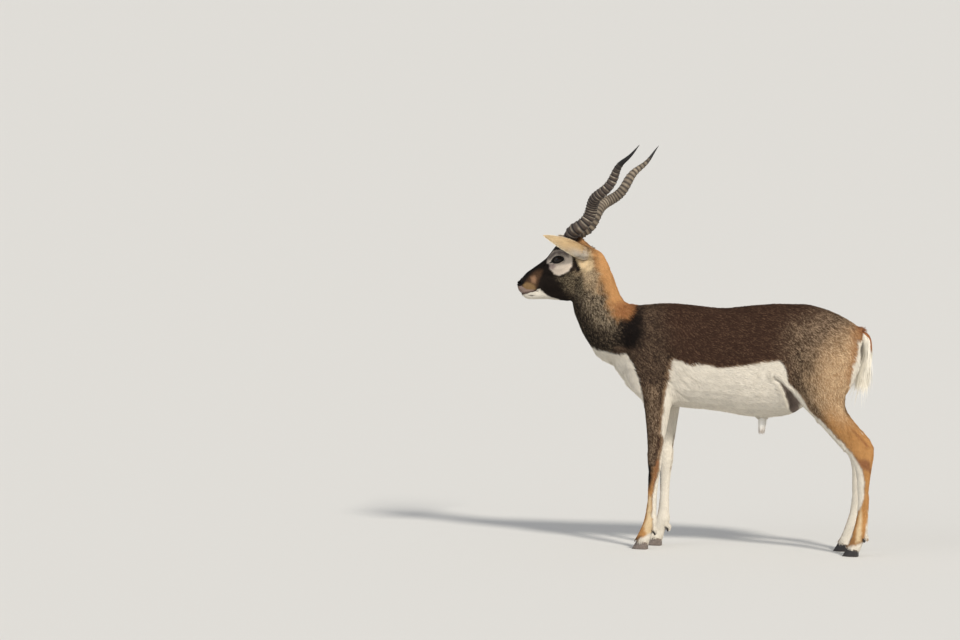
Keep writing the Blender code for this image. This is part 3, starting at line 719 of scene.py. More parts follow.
@dataclass(frozen=True)
class WetSkinFinish:
    """Bare dark skin of lids, nostrils and lips: fine pores and a soft gloss."""

    name: str = "bare_skin"

    def make(self) -> Material:
        """Make the material."""
        w = Wiring(self.name)
        pores = w.noise(1500.0, 3.0)
        w.paint((pores, 0.8, 1.2))
        w.fix(Roughness=0.40, Specular_IOR_Level=0.16)
        w.bump(pores, 0.35, 0.0003)
        return w.material


@dataclass(frozen=True)
class FloorFinish:
    """The plain pale floor of the studio."""

    name: str = "studio_floor"

    def make(self) -> Material:
        """Make the material."""
        w = Wiring(self.name)
        cloud = w.noise(300.0, 2.0)
        w.link(w.blend(w.spread(cloud, 0.0, 1.0), tone(211, 210, 206), tone(217, 216, 212)),
               w.shader.inputs["Base Color"])
        w.fix(Roughness=0.9)
        return w.material


@dataclass(frozen=True)
class Tint:
    """One kind of hair: the colour of most hairs, of the pale or dark ones among them, and their share."""

    ground: Triple
    fleck: Triple
    share: float


@dataclass(frozen=True)
class Zone:
    """A patch of the coat, by its outline seen from the side.

    The outline is a closed line of (x, z) in millimetres, and soft is the width of its blurred edge. outer
    keeps it to places further from the middle plane than that many millimetres.
    """

    tint: Tint
    outline: Outline
    soft: float = 6.0
    ragged: float = 3.0
    outer: float | None = None

    def weight(self, spot: Array, aside: Array, rough: Array) -> Array:
        """How much of the zone's tint each place has.

        Args:
            spot: Places as x and z in millimetres, in the left side's own axes.
            aside: Distance from the middle plane in millimetres.
            rough: The edge's unevenness at each place, from -1 to 1.

        Returns:
            A share from 0 to 1 a place.
        """
        line = np.array(self.outline, dtype=float)
        picked = within(spot, line, self.soft + 2 * self.ragged)
        share = np.zeros(len(spot))
        mine = spot[picked]
        near = np.full(len(mine), 1e9)
        inside = np.zeros(len(mine), dtype=bool)
        for a, b in zip(line, np.roll(line, -1, axis=0)):
            away = away_from(mine, a, b)
            near = np.minimum(near, np.hypot(away[:, 0], away[:, 1]))
            if a[1] != b[1]:
                crosses = (a[1] > mine[:, 1]) != (b[1] > mine[:, 1])
                at = a[0] + (mine[:, 1] - a[1]) * (b[0] - a[0]) / (b[1] - a[1])
                inside ^= crosses & (mine[:, 0] < at)
        deep = np.where(inside, near, -near) + self.ragged * rough[picked]
        share[picked] = step_between(deep, -self.soft / 2, self.soft / 2)
        if self.outer is not None:
            share = share * step_between(aside, self.outer - 4, self.outer + 4)
        return share


BROWN = Tint((55, 37, 28), (122, 95, 74), 0.22)
SHOULDER = Tint((50, 38, 30), (150, 124, 100), 0.34)
DARK = Tint((17, 12, 10), (56, 44, 35), 0.16)
FLANK = Tint((70, 54, 41), (210, 180, 148), 0.46)
BUFF = Tint((162, 129, 94), (250, 222, 182), 0.60)
TAN = Tint((148, 106, 70), (212, 166, 118), 0.45)
FRINGE = Tint((122, 98, 76), (200, 172, 138), 0.45)
STIFLE = Tint((58, 45, 35), (206, 176, 142), 0.46)
WHITE = Tint((224, 216, 201), (234, 228, 215), 0.4)
CREAM = Tint((220, 194, 152), (234, 214, 180), 0.4)
GRIZZLE = Tint((44, 36, 29), (212, 190, 158), 0.50)
CHEEK = Tint((32, 26, 20), (196, 176, 144), 0.40)
PALE_GRIZZLE = Tint((112, 92, 70), (232, 208, 170), 0.60)
NECK_DARK = Tint((22, 17, 13), (150, 130, 106), 0.26)
OCHRE = Tint((180, 130, 78), (208, 162, 106), 0.4)
NAPE = Tint((184, 134, 84), (218, 172, 118), 0.4)
NAPE_LOW = Tint((140, 92, 56), (196, 144, 96), 0.4)
RUFOUS = Tint((140, 92, 60), (174, 126, 88), 0.4)
BLACK = Tint((24, 18, 14), (56, 45, 36), 0.16)
JET = Tint((13, 11, 10), (26, 22, 20), 0.2)
MUZZLE = Tint((70, 51, 37), (112, 84, 62), 0.4)
MUZZLE_PALE = Tint((142, 108, 82), (164, 130, 102), 0.4)
KHAKI = Tint((128, 101, 68), (152, 124, 88), 0.4)
LIP_GREY = Tint((142, 122, 112), (164, 144, 132), 0.4)
LIP_LINE = Tint((50, 31, 26), (60, 40, 34), 0.3)
LOBE = Tint((214, 200, 180), (230, 218, 200), 0.4)
LOBE_SHADE = Tint((92, 76, 66), (110, 94, 82), 0.3)
RING = Tint((206, 192, 176), (222, 210, 196), 0.4)
# Grey painted shade: the ear's shadow on the eye ring, and the fold under the lower lip.
GREY_SHADE = Tint((108, 98, 92), (142, 130, 122), 0.4)
PINK_GREY = Tint((158, 140, 132), (178, 162, 152), 0.4)
# Grey-brown painted shade for the recess between the belly and the thigh.
GROIN_SHADE = Tint((124, 110, 100), (142, 128, 118), 0.4)


def strip(line: Outline, width: float) -> Outline:
    """The outline of a band in front of a line, by its width in millimetres."""
    return (*line, *tuple((x - width, z) for x, z in reversed(line)))


def band(line: Outline, half: float) -> Outline:
    """The outline of a level band along a line, by half its height in millimetres."""
    return (*((x, z - half) for x, z in line), *((x, z + half) for x, z in reversed(line)))


class Markings:
    """The coat's colours over the whole animal, from a few outlines seen from its left side."""

    fore_rear: Outline = (
        (-60, 604), (-68, 565), (-77, 504), (-84, 435), (-91, 374), (-82, 351), (-91, 313), (-97, 250),
        (-106, 218), (-113, 190), (-117, 150), (-117, 110), (-112, 84), (-112, 62), (-120, 40),
    )
    belly_top: Outline = (
        (-58, 606), (-31, 598), (1, 584), (15, 591), (70, 583), (84, 578), (153, 585), (187, 591), (242, 603),
        (276, 605), (293, 592), (300, 575), (308, 541), (337, 514), (363, 483), (376, 456),
    )
    hind_front: Outline = (
        (384, 449), (410, 428), (434, 405), (460, 378), (485, 354), (507, 329), (524, 308), (537, 292),
        (546, 272), (551, 237), (551, 199), (545, 165), (533, 140), (525, 120), (522, 98), (516, 66),
        (506, 40),
    )
    chest: Outline = (
        (-335, 636), (-281, 619), (-235, 612), (-210, 614), (-186, 588), (-171, 549), (-152, 509),
        (-147, 467), (-152, 440), (-150, 380), (-420, 380), (-420, 640),
    )
    nape: Outline = (
        (-369, 953), (-345, 946), (-330, 914), (-320, 883), (-316, 864), (-305, 839), (-290, 813),
        (-278, 785), (-267, 759), (-253, 735), (-238, 724), (-214, 733), (-205, 790), (-240, 900),
        (-330, 990), (-369, 970),
    )
    ring: Outline = (
        (-466, 908), (-471, 897), (-470, 884), (-459, 880), (-458, 866), (-447, 853), (-432, 848),
        (-414, 854), (-400, 862), (-390, 875), (-389, 887), (-388, 902), (-400, 918), (-418, 926),
        (-440, 926), (-456, 919),
    )
    muzzle: Outline = (
        (-531, 838), (-516, 856), (-498, 864), (-484, 864), (-488, 844), (-497, 824), (-505, 806),
        (-529, 808), (-539, 822),
    )
    # Outline of the painted shade in the recess between the belly and the thigh.
    groin: Outline = (
        (262, 553), (280, 535), (292, 513), (302, 486), (307, 465), (311, 405), (345, 400), (372, 442),
        (350, 470), (333, 492), (313, 515), (286, 540),
    )
    chin: Outline = (
        (-556, 786), (-550, 784), (-532, 788), (-510, 795), (-500, 803), (-492, 804), (-480, 791),
        (-458, 779), (-436, 774), (-430, 745), (-580, 745),
    )
    mouth: Outline = ((-498, 797.5), (-507, 797.5), (-521, 794.5), (-536, 790.5), (-547, 788.5), (-558, 788))

    brisket: Outline = ((-215, 520), (-30, 520), (-30, 380), (-215, 380))
    cleft: Outline = (
        (330, 420), (336, 500), (420, 580), (460, 650), (498, 668), (530, 676), (620, 660), (620, 420),
    )

    def body(self) -> list[Zone]:
        """Patches of the trunk, the neck and the legs, the later over the earlier."""
        under = (*self.fore_rear[::-1], *self.belly_top[1:], *self.hind_front)
        tail_patch = ((534, 678), (519, 664), (512, 618), (504, 569), (498, 532), (500, 505), (620, 490),
                      (620, 690))
        hind_low = (
            (440, 440), (480, 420), (520, 430), (620, 430), (620, 40), (440, 40), (470, 340), (420, 400),
        )
        fore_low = (
            (-185, 40), (-185, 150), (-148, 180), (-134, 198), (-125, 193), (-112, 218), (-102, 250),
            (-96, 275), (-70, 285), (-70, 40),
        )
        fore_dark = (
            (-250, 640), (-250, 420), (-160, 190), (-136, 198), (-127, 200), (-116, 226), (-108, 260),
            (-106, 313), (-103, 351), (-106, 380), (-100, 435), (-94, 504), (-84, 565), (-70, 620),
        )
        neck_side = ((-430, 820), (-410, 700), (-350, 600), (-240, 560), (-195, 640), (-225, 740),
                     (-300, 960))
        neck_middle = (
            (-385, 868), (-310, 884), (-288, 820), (-260, 756), (-242, 712), (-262, 684), (-312, 700),
            (-345, 745), (-368, 790), (-392, 830),
        )
        under_ear = ((-378, 870), (-336, 892), (-312, 850), (-296, 806), (-318, 800), (-356, 830))
        return [
            Zone(SHOULDER, ((-330, 780), (-330, 560), (-110, 430), (-50, 520), (-90, 700), (-110, 800)),
                 90, 8),
            Zone(NECK_DARK, neck_side, 40, 6),
            Zone(DARK, ((-212, 762), (-172, 752), (-152, 690), (-180, 620), (-204, 596), (-240, 606),
                        (-232, 660), (-226, 716)), 42, 8),
            Zone(DARK, ((-430, 800), (-400, 770), (-372, 700), (-330, 640), (-300, 600), (-440, 600)), 34, 6),
            Zone(GRIZZLE, neck_middle, 44, 8),
            Zone(PALE_GRIZZLE, under_ear, 34, 8),
            Zone(FLANK, ((300, 720), (460, 790), (540, 760), (470, 640), (400, 450), (350, 470), (320, 560),
                         (290, 640)), 110, 10),
            Zone(STIFLE, ((330, 640), (318, 520), (380, 430), (440, 390), (430, 480), (400, 620)), 50, 10),
            Zone(BUFF, ((492, 706), (446, 676), (410, 634), (386, 560), (402, 480), (432, 410), (520, 390),
                        (540, 500), (540, 690)), 118, 12),
            Zone(TAN, ((502, 660), (494, 700), (505, 750), (600, 740), (600, 400), (516, 440), (496, 560)),
                 40, 6),
            Zone(STIFLE, ((398, 470), (380, 452), (440, 398), (462, 384), (452, 404), (424, 436)), 16, 5),
            Zone(NAPE, self.nape, 46, 10),
            Zone(NAPE_LOW, ((-262, 768), (-248, 730), (-222, 720), (-192, 738), (-196, 772), (-236, 776)),
                 26, 8),
            Zone(OCHRE, hind_low, 110, 8),
            Zone(FRINGE, strip(self.fore_rear[:9], 9), 9, 3, outer=46),
            Zone(SHOULDER, fore_dark, 12, 4, outer=46),
            Zone(FLANK, strip(((-96, 500), (-102, 440), (-106, 380), (-110, 300), (-116, 240)), 22), 24, 6,
                 outer=46),
            Zone(FLANK, ((-132, 520), (-104, 520), (-96, 440), (-106, 330), (-128, 330), (-138, 440)), 30, 8,
                 outer=46),
            Zone(DARK, ((-150, 262), (-122, 272), (-112, 246), (-116, 222), (-138, 204), (-156, 214)), 22, 6),
            Zone(TAN, ((-116, 262), (-104, 266), (-102, 240), (-108, 205), (-120, 200)), 16, 5),
            Zone(OCHRE, fore_low, 22, 4),
            Zone(RUFOUS, ((-116, 204), (-110, 200), (-99, 262), (-92, 290), (-103, 284)), 8, 2),
            Zone(RUFOUS, ((-160, 190), (-150, 190), (-146, 130), (-150, 80), (-166, 40), (-180, 40)), 8, 2),
            Zone(CREAM, ((-128, 172), (-122, 165), (-114, 90), (-114, 50), (-130, 48), (-142, 62),
                         (-132, 110)), 10, 3),
            Zone(CREAM, ((540, 170), (545, 140), (548, 90), (544, 50), (528, 48), (532, 90), (538, 130)),
                 10, 3),
            Zone(WHITE, self.chest, 5, 2.5),
            Zone(FRINGE, tuple((x - (3 if x < 320 else -2), z + 3) for x, z in under), 7, 2.5),
            Zone(WHITE, under, 5, 2.5),
            Zone(WHITE, ((561, 150), (572, 140), (572, 60), (555, 56), (558, 90), (562, 120)), 7, 3),
            Zone(RUFOUS, ((524, 309), (568, 304), (572, 266), (549, 278), (536, 292)), 14, 3),
            # Dark painted shade in the groove between the Achilles tendon and the shin.
            Zone(NAPE_LOW, ((506, 402), (512, 400), (562, 350), (558, 344)), 8, 1, outer=66),
            Zone(WHITE, tail_patch, 5, 2),
            Zone(RUFOUS, ((505, 715), (536, 712), (560, 690), (545, 676), (530, 682)), 12, 3),
        ]

    def head(self) -> list[Zone]:
        """Patches of the head, the later over the earlier."""
        cheek = ((-600, 1000), (-452, 1000), (-400, 940), (-372, 900), (-378, 850), (-405, 790), (-400, 740),
                 (-600, 740))
        return [
            Zone(BLACK, cheek, 34, 8),
            Zone(CHEEK, ((-440, 842), (-400, 850), (-376, 862), (-366, 882), (-346, 885), (-316, 858),
                         (-308, 762), (-370, 762), (-378, 789), (-404, 797), (-424, 818)), 24, 8),
            Zone(PALE_GRIZZLE, ((-372, 856), (-346, 872), (-312, 866), (-300, 815), (-332, 806), (-358, 826)),
                 34, 9),
            Zone(CHEEK, ((-392, 850), (-356, 852), (-352, 814), (-390, 812)), 14, 1),
            Zone(MUZZLE, self.muzzle, 15, 2),
            Zone(MUZZLE_PALE, ((-523, 842), (-511, 846), (-505, 834), (-507, 822), (-520, 824)), 11, 1.5),
            Zone(JET, ((-600, 1000), (-380, 1000), (-400, 936), (-464, 910), (-494, 882), (-520, 862),
                       (-540, 838), (-600, 826)), 7, 2),
            Zone(CREAM, ((-398, 915), (-376, 930), (-342, 925), (-328, 895), (-330, 872), (-348, 858),
                         (-368, 868), (-380, 890)), 24, 7),
            Zone(LOBE, ((-374, 916), (-358, 920), (-344, 914), (-343, 900), (-356, 898), (-370, 904)),
                 6, 1.5),
            Zone(LOBE_SHADE, band(((-388, 909), (-372, 901), (-357, 896), (-344, 899)), 1.6), 3.5, 0.8),
            Zone(RING, self.ring, 4, 1.2, outer=27),
            # Painted shadow of the ear over the upper part of the white eye ring.
            Zone(GREY_SHADE, ((-473, 909), (-473, 893), (-458, 897), (-444, 912), (-420, 914), (-400, 905),
                             (-400, 922), (-440, 926)), 10, 1.5, outer=27),
            Zone(PINK_GREY, ((-462, 884), (-460, 868), (-448, 866), (-440, 876), (-446, 884)), 9, 1),
            Zone(JET, ((-443, 897), (-452, 893), (-463, 886.5), (-462, 884.5), (-452, 887), (-443, 887)),
                 2, 0.2),
            Zone(KHAKI, ((-547, 818), (-532, 824), (-512, 818), (-505, 802), (-530, 796), (-552, 794)),
                 9, 1.5),
            Zone(LIP_GREY, ((-572, 814), (-553, 812), (-536, 801), (-510, 800.5), (-528, 790), (-572, 784)),
                 5, 1),
            Zone(JET, ((-580, 836), (-549, 834), (-545, 820), (-556, 812), (-580, 810)), 4, 1),
            Zone(WHITE, self.chin, 4, 1.5),
            Zone(LIP_LINE, band(self.mouth, 1.3), 1.4, 0.2),
            # Painted shade in the fold under the lower lip.
            Zone(GREY_SHADE, ((-533, 783), (-520, 780), (-508, 783), (-520, 784.5)), 3, 0.5),
            # Black painted shadow below the root of the ear, behind the eye ring.
            Zone(BLACK, ((-390, 906), (-381, 904), (-369, 884), (-361, 864), (-374, 858), (-385, 880)), 8, 3),
        ]

    def tints(self, seen: Array, aside: Array, head: Array, leg: Array, inward: Array,
              lashes: Array) -> tuple[Array, Array, Array]:
        """Lay every zone over the given places.

        Args:
            seen: Places in the left side's own axes, in metres.
            aside: Distance from the middle plane in millimetres.
            head: Share of the head's own markings at each place.
            leg: Whether the place is on a leg, from 0 to 1.
            inward: How far a place of a leg faces its fellow, from -1 to 1.
            lashes: Share of the black line round the eyes.

        Returns:
            Colours of the ground hairs, colours of the flecks and the flecks' share.
        """
        count = len(seen)
        ground = np.tile(tone(*BROWN.ground), (count, 1))
        fleck = np.tile(tone(*BROWN.fleck), (count, 1))
        share = np.full(count, BROWN.share)
        rough = mottle(seen, 0.011, 5) + 0.6 * mottle(seen, 0.004, 6)
        spot = seen[:, (0, 2)] / MM

        def lay(tint: Tint, weight: Array) -> None:
            """Lay one tint over what is there."""
            on = np.flatnonzero(weight > 0.001)
            row = weight[on, None]
            ground[on] = mix(ground[on], tone(*tint.ground), row)
            fleck[on] = mix(fleck[on], tone(*tint.fleck), row)
            share[on] = mix(share[on], tint.share, weight[on])

        for zone in self.body():
            lay(zone.tint, zone.weight(spot, aside, rough))
        lay(WHITE, leg * step_between(inward + 0.10 * rough, 0.34, 0.56))
        edge = np.where(spot[:, 0] < 200, 56 + (spot[:, 0] + 118) * 0.6, 46 + (spot[:, 0] - 548) * 0.33)
        lay(WHITE, leg * step_between(edge - spot[:, 1] - 2 * rough, -5, 5))
        # Painted shade in the recess behind the belly, in front of the thigh.
        lay(GROIN_SHADE, Zone(GROIN_SHADE, self.groin, 4, 1.2).weight(spot, aside, rough))
        middle = step_between(48 - aside - 2 * rough, -5, 5)
        for hidden in (self.brisket, self.cleft):
            lay(WHITE, middle * Zone(WHITE, hidden, 8).weight(spot, aside, rough))
        for zone in self.head():
            lay(zone.tint, head * zone.weight(spot, aside, rough))
        lay(JET, lashes)
        return ground, fleck, share


class Part(Enum):
    """The flesh solids, each with how its skin and coat are made.

    The values are the solid's name or the end of it, the coat's depth, how much the skin is smoothed, the
    length and width of a tuft in millimetres, and the direction in which the hair lies.
    """

    HEAD = ("head", 1.0, 0.10, 5.0, 0.75, (0.80, 0.0, 0.30))
    NECK = ("neck", 2.4, 0.80, 12.0, 1.25, (0.50, 0.0, -0.85))
    CHEST = ("torso_chest", 2.6, 1.00, 13.0, 1.45, (0.75, 0.0, -0.65))
    BELLY = ("torso_belly", 2.6, 1.00, 13.0, 1.45, (0.92, 0.0, -0.30))
    RUMP = ("torso_rump", 2.6, 1.00, 13.0, 1.45, (0.80, 0.0, -0.60))
    ARM = ("arm", 2.0, 0.60, 10.0, 1.25, (0.22, 0.0, -1.0))
    THIGH = ("thigh", 2.0, 0.70, 11.0, 1.3, (0.45, 0.0, -0.9))
    FORE_CANNON = ("fore_cannon", 1.0, 0.16, 7.0, 1.1, (0.05, 0.0, -1.0))
    HIND_CANNON = ("hind_cannon", 1.0, 0.16, 7.0, 1.1, (0.05, 0.0, -1.0))
    FORE_FOOT = ("fore_foot", 0.9, 0.10, 5.0, 0.9, (-0.30, 0.0, -1.0))
    HIND_FOOT = ("hind_foot", 0.9, 0.10, 5.0, 0.9, (-0.30, 0.0, -1.0))

    def __init__(
        self, ending: str, depth: float, smooth: float, length: float, width: float, lie: Triple
    ) -> None:
        """Keep the values under their names."""
        self.ending = ending
        self.depth = depth
        self.smooth = smooth
        self.length = length
        self.width = width
        self.lie = lie

    @property
    def number(self) -> int:
        """Its place in the list of parts."""
        return list(Part).index(self)

    @property
    def cover(self) -> float:
        """How many times over the tufts cover the skin."""
        if self is Part.HEAD:
            return 2.2
        return 1.4 if self.ending.endswith(("cannon", "foot")) else 2.1

    @classmethod
    def of(cls, node: str) -> "Part":
        """The part that a solid of this name is."""
        for part in cls:
            plain = node.replace("_left", "").replace("_right", "")
            if plain in (part.ending, "fore_" + part.ending, "hind_" + part.ending):
                return part
        raise ValueError(node)


@dataclass(frozen=True)
class Stroke:
    """A ridge or a furrow that is drawn on the skin.

    The path is given in millimetres in the left side's own axes with y as the distance from the middle
    plane. raise_mm is its height at the middle, or its depth where it is negative. A flat one takes no
    notice of y, and beyond keeps it to places further from the middle plane than that.
    """

    path: tuple[Triple, ...]
    width: float
    raise_mm: float
    flat: bool = False
    beyond: float = 0.0

    def lift(self, places: Array) -> Array:
        """How far each place is raised, in metres.

        Args:
            places: Places in the left side's own axes, in metres.

        Returns:
            A height a place.
        """
        spot = places / MM
        line = np.array(self.path, dtype=float)
        if self.flat:
            spot = spot * (1, 0, 1)
            line = line * (1, 0, 1)
        picked = within(spot, line, self.width * 2.2)
        out = np.zeros(len(spot))
        if not len(picked):
            return out
        near = np.full(len(picked), 1e9)
        for a, b in zip(line[:-1], line[1:]):
            near = np.minimum(near, np.linalg.norm(away_from(spot[picked], a, b), axis=1))
        out[picked] = self.raise_mm * MM * np.exp(-((near / self.width) ** 2) * 1.4)
        if self.beyond:
            out *= step_between(places[:, 1] / MM, self.beyond - 12, self.beyond + 12)
        return out


@dataclass
class Lids:
    """Sizes and place of the eye and its opening."""

    centre: Vector = field(default_factory=lambda: Vector((-0.4320, 0.0395, 0.8950)))
    radius: float = 0.0160
    long: float = 0.0148
    tall: float = 0.0094
    lower: float = 0.86
    tilt: float = math.radians(14.0)

    def axes(self) -> tuple[Array, Array, Array]:
        """Directions along the opening, across it and out of the head, on the right side."""
        ahead = np.array((-math.cos(self.tilt), 0.0, -math.sin(self.tilt)))
        upward = np.array((-math.sin(self.tilt), 0.0, math.cos(self.tilt)))
        return ahead, upward, np.array((0.0, 1.0, 0.0))

    def outline(self, turn: Array) -> tuple[Array, Array]:
        """Points of the opening's outline, along and across it."""
        low = np.where(np.sin(turn) > 0, 1.0, self.lower)
        return self.long * np.cos(turn), self.tall * np.sin(turn) * low

    def local(self, points: Array) -> tuple[Array, Array, Array]:
        """Places of the right side relative to the eye: along, across and out."""
        away = points - np.array(self.centre)
        ahead, upward, out = self.axes()
        return away @ ahead, away @ upward, away @ out

    def beyond(self, a: Array, b: Array) -> tuple[Array, Array]:
        """The angle round the opening, and the distance beyond its edge, of places along and across it."""
        turn = np.arctan2(b / self.tall, a / self.long)
        return turn, np.hypot(a, b) - np.hypot(*self.outline(turn))


@dataclass
class Flesh:
    """The animal's skin, drawn over all the flesh solids as one surface."""

    voxel: float = 0.0034
    overlap: float = 0.0007
    passes: int = 70
    lids: Lids = field(default_factory=Lids)
    nostril: Triple = (-0.5585, 0.0145, 0.8185)
    nostril_lean: float = math.radians(34)
    ear_foot: Triple = (-0.352, 0.046, 0.921)
    horn_foot: Triple = (-0.3905, 0.0265, 0.966)
    sheet: Sheet | None = None
    part: Array | None = None
    limb: Array | None = None

    def nodes(self) -> list[str]:
        """Names of the flesh solids."""
        skip = ("eye_", "ear_", "horn_", "tail")
        return [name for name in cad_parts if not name.startswith(skip) and "claw" not in name]

    def read(self, name: str) -> tuple[Array, Array, Array]:
        """Points, normals and triangles of one solid in the animal's own axes."""
        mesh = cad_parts[name].data
        mesh.calc_loop_triangles()
        return (fetch(mesh.vertices, "co", 3) - Maker.offset, fetch(mesh.vertex_normals, "vector", 3),
                fetch(mesh.loop_triangles, "vertices", 3, np.int32))

    def gather(self, names: list[str], lift: float = 0.0) -> tuple[list, list, Array]:
        """Points and triangles of several solids together, lifted, and which solid each triangle is of.

        Args:
            names: Names of the solids.
            lift: How far their points are moved out.

        Returns:
            Points, triangles, and the number of the solid that each triangle is of.
        """
        points = []
        faces = []
        owner = []
        count = 0
        for n, name in enumerate(names):
            place, normal, tris = self.read(name)
            points.append(place + normal * lift)
            faces.append(tris + count)
            owner.append(np.full(len(tris), n))
            count += len(place)
        return np.concatenate(points).tolist(), np.concatenate(faces).tolist(), np.concatenate(owner)

    def wrap(self) -> Sheet:
        """One closed surface round all the flesh, the eyes filled in."""
        points, faces, _ = self.gather([*self.nodes(), "eye_left", "eye_right"], self.overlap)
        mesh = bpy.data.meshes.new("wrap")
        mesh.from_pydata(points, [], faces)
        thing = add_object("wrap", mesh)
        remesh = thing.modifiers.new("wrap", "REMESH")
        remesh.mode = "VOXEL"
        remesh.voxel_size = self.voxel
        result = thing.evaluated_get(bpy.context.evaluated_depsgraph_get()).to_mesh()
        quads = fetch(result.loops, "vertex_index", 1, np.int32).reshape(-1, 4)
        sheet = Sheet(fetch(result.vertices, "co", 3), quads)
        bpy.data.objects.remove(thing)
        bpy.data.meshes.remove(mesh)
        return self.largest(sheet)

    @staticmethod
    def largest(sheet: Sheet) -> Sheet:
        """The outer surface alone, without hollows that the wrap sealed in.

        Args:
            sheet: The wrap with all its shells.

        Returns:
            The shell with the most points.
        """
        a, b = sheet.edges().T
        label = np.arange(len(sheet.points))
        while True:
            low = np.minimum(label[a], label[b])
            fresh = label.copy()
            np.minimum.at(fresh, a, low)
            np.minimum.at(fresh, b, low)
            fresh = fresh[fresh]
            if (fresh == label).all():
                break
            label = fresh
        names, counts = np.unique(label, return_counts=True)
        kept = label == names[counts.argmax()]
        number = np.cumsum(kept) - 1
        quads = sheet.quads[kept[sheet.quads[:, 0]]]
        return Sheet(sheet.points[kept], number[quads])

    def know(self) -> None:
        """Find which solid each point of the skin belongs to."""
        names = self.nodes()
        points, faces, owner = self.gather(names)
        tree = BVHTree.FromPolygons(points, faces)
        found = [tree.find_nearest(p)[2] for p in self.sheet.points.tolist()]
        owner = owner[np.array(found)]
        limbs = list(Limb)
        part_of = np.array([Part.of(name).number for name in names])
        limb_of = np.array([next((k for k, limb in enumerate(limbs) if name.startswith(limb.value)), -1)
                            for name in names])
        self.part = part_of[owner]
        self.limb = limb_of[owner]

    def by_part(self, read: Callable[[Part], float | Triple]) -> Array:
        """A value for each point, read from its part."""
        return np.array([read(part) for part in Part])[self.part]

    def left_axes(self, points: Array, limb: Array, head: Array) -> Array:
        """The places as the left side has them: mirrored, the right legs and the head's tilt taken back.

        Args:
            points: The places.
            limb: Number of the leg that each is on, or -1.
            head: Share of the head's tilt that each has.

        Returns:
            The places, all on the left side.
        """
        level = BUILD.rolled(points, back=True)
        out = mix(points, level, head[:, None])
        for k, one in enumerate(Limb):
            on = limb == k
            out[on, 0] -= BUILD.leg_shift(one, points[on, 2])
        out[:, 1] = np.abs(out[:, 1])
        return out

    def strokes(self) -> list[Stroke]:
        """Muscles, bones, tendons and folds that show through the coat."""
        return [
            Stroke(((-262, 40, 600), (-255, 45, 560), (-225, 40, 520)), 9, -3.0, flat=True),
            Stroke(((-205, 80, 700), (-214, 80, 640), (-190, 80, 590)), 16, -5.0),
            Stroke(((-120, 95, 740), (-160, 92, 660), (-190, 88, 590)), 14, 2.0),
            Stroke(((-90, 95, 700), (-75, 95, 610), (-62, 90, 560)), 16, -3.0),
            Stroke(((-60, 75, 540), (-64, 74, 500), (-66, 72, 480)), 9, 2.5),
            Stroke(((262, 0, 552), (281, 0, 538), (300, 0, 512)), 6, -6.0, flat=True, beyond=45),
            Stroke(((308, 0, 500), (318, 0, 474), (327, 0, 452)), 13, -16.0, flat=True, beyond=45),
            Stroke(((246, 0, 560), (267, 0, 546), (281, 0, 516), (290, 0, 490), (294, 0, 462), (297, 0, 440)),
                   7, 2.5, flat=True, beyond=45),
            Stroke(((270, 0, 560), (294, 0, 542), (318, 0, 520), (341, 0, 496), (360, 0, 472), (376, 0, 454)),
                   6, 3.5, flat=True, beyond=50),
            Stroke(((400, 0, 420), (428, 0, 392), (456, 0, 364), (482, 0, 336)), 11, 3.0, flat=True,
                   beyond=40),
            Stroke(((-58, 0, 578), (-38, 0, 540), (-6, 0, 512)), 5, -1.6, flat=True, beyond=45),
            Stroke(((-46, 0, 592), (-16, 0, 556), (22, 0, 530)), 6, -1.4, flat=True, beyond=45),
            Stroke(((-66, 0, 530), (-48, 0, 500), (-16, 0, 476)), 5, -1.8, flat=True, beyond=45),
            Stroke(((300, 92, 700), (330, 90, 650), (350, 88, 600)), 26, -4.0),
            Stroke(((352, 70, 752), (345, 78, 742)), 16, 3.0),
            Stroke(((455, 82, 700), (476, 76, 620), (482, 70, 540), (470, 70, 480)), 9, -2.6),
            Stroke(((400, 90, 690), (405, 92, 600), (402, 90, 540)), 20, 2.0),
            Stroke(((500, 86, 410), (528, 84, 385), (556, 84, 352)), 6.5, -3.0),
            Stroke(((500, 54, 410), (528, 56, 385), (556, 56, 352)), 6.5, -3.0),
            Stroke(((535, 88, 330), (532, 88, 318)), 9, 2.0),
            Stroke(((512, 0, 716), (530, 0, 706), (546, 0, 692)), 15, -6.0),
            Stroke(((590, 0, 330), (586, 0, 290), (580, 0, 240), (574, 0, 200)), 14, -6.5, flat=True),
            Stroke(((488, 0, 434), (498, 0, 395), (506, 0, 352)), 4.5, -2.2, flat=True, beyond=60),
            Stroke(((552, 83, 290), (553, 83, 200), (551, 83, 130)), 3.5, -1.2),
            Stroke(((-112, 75, 300), (-112, 76, 262)), 9, 1.6),
            Stroke(((-108, 73, 235), (-110, 73, 180), (-114, 73, 130)), 3.2, -1.1),
            Stroke(((-380, 24, 770), (-352, 40, 700), (-318, 52, 640)), 10, -3.0),
        ]

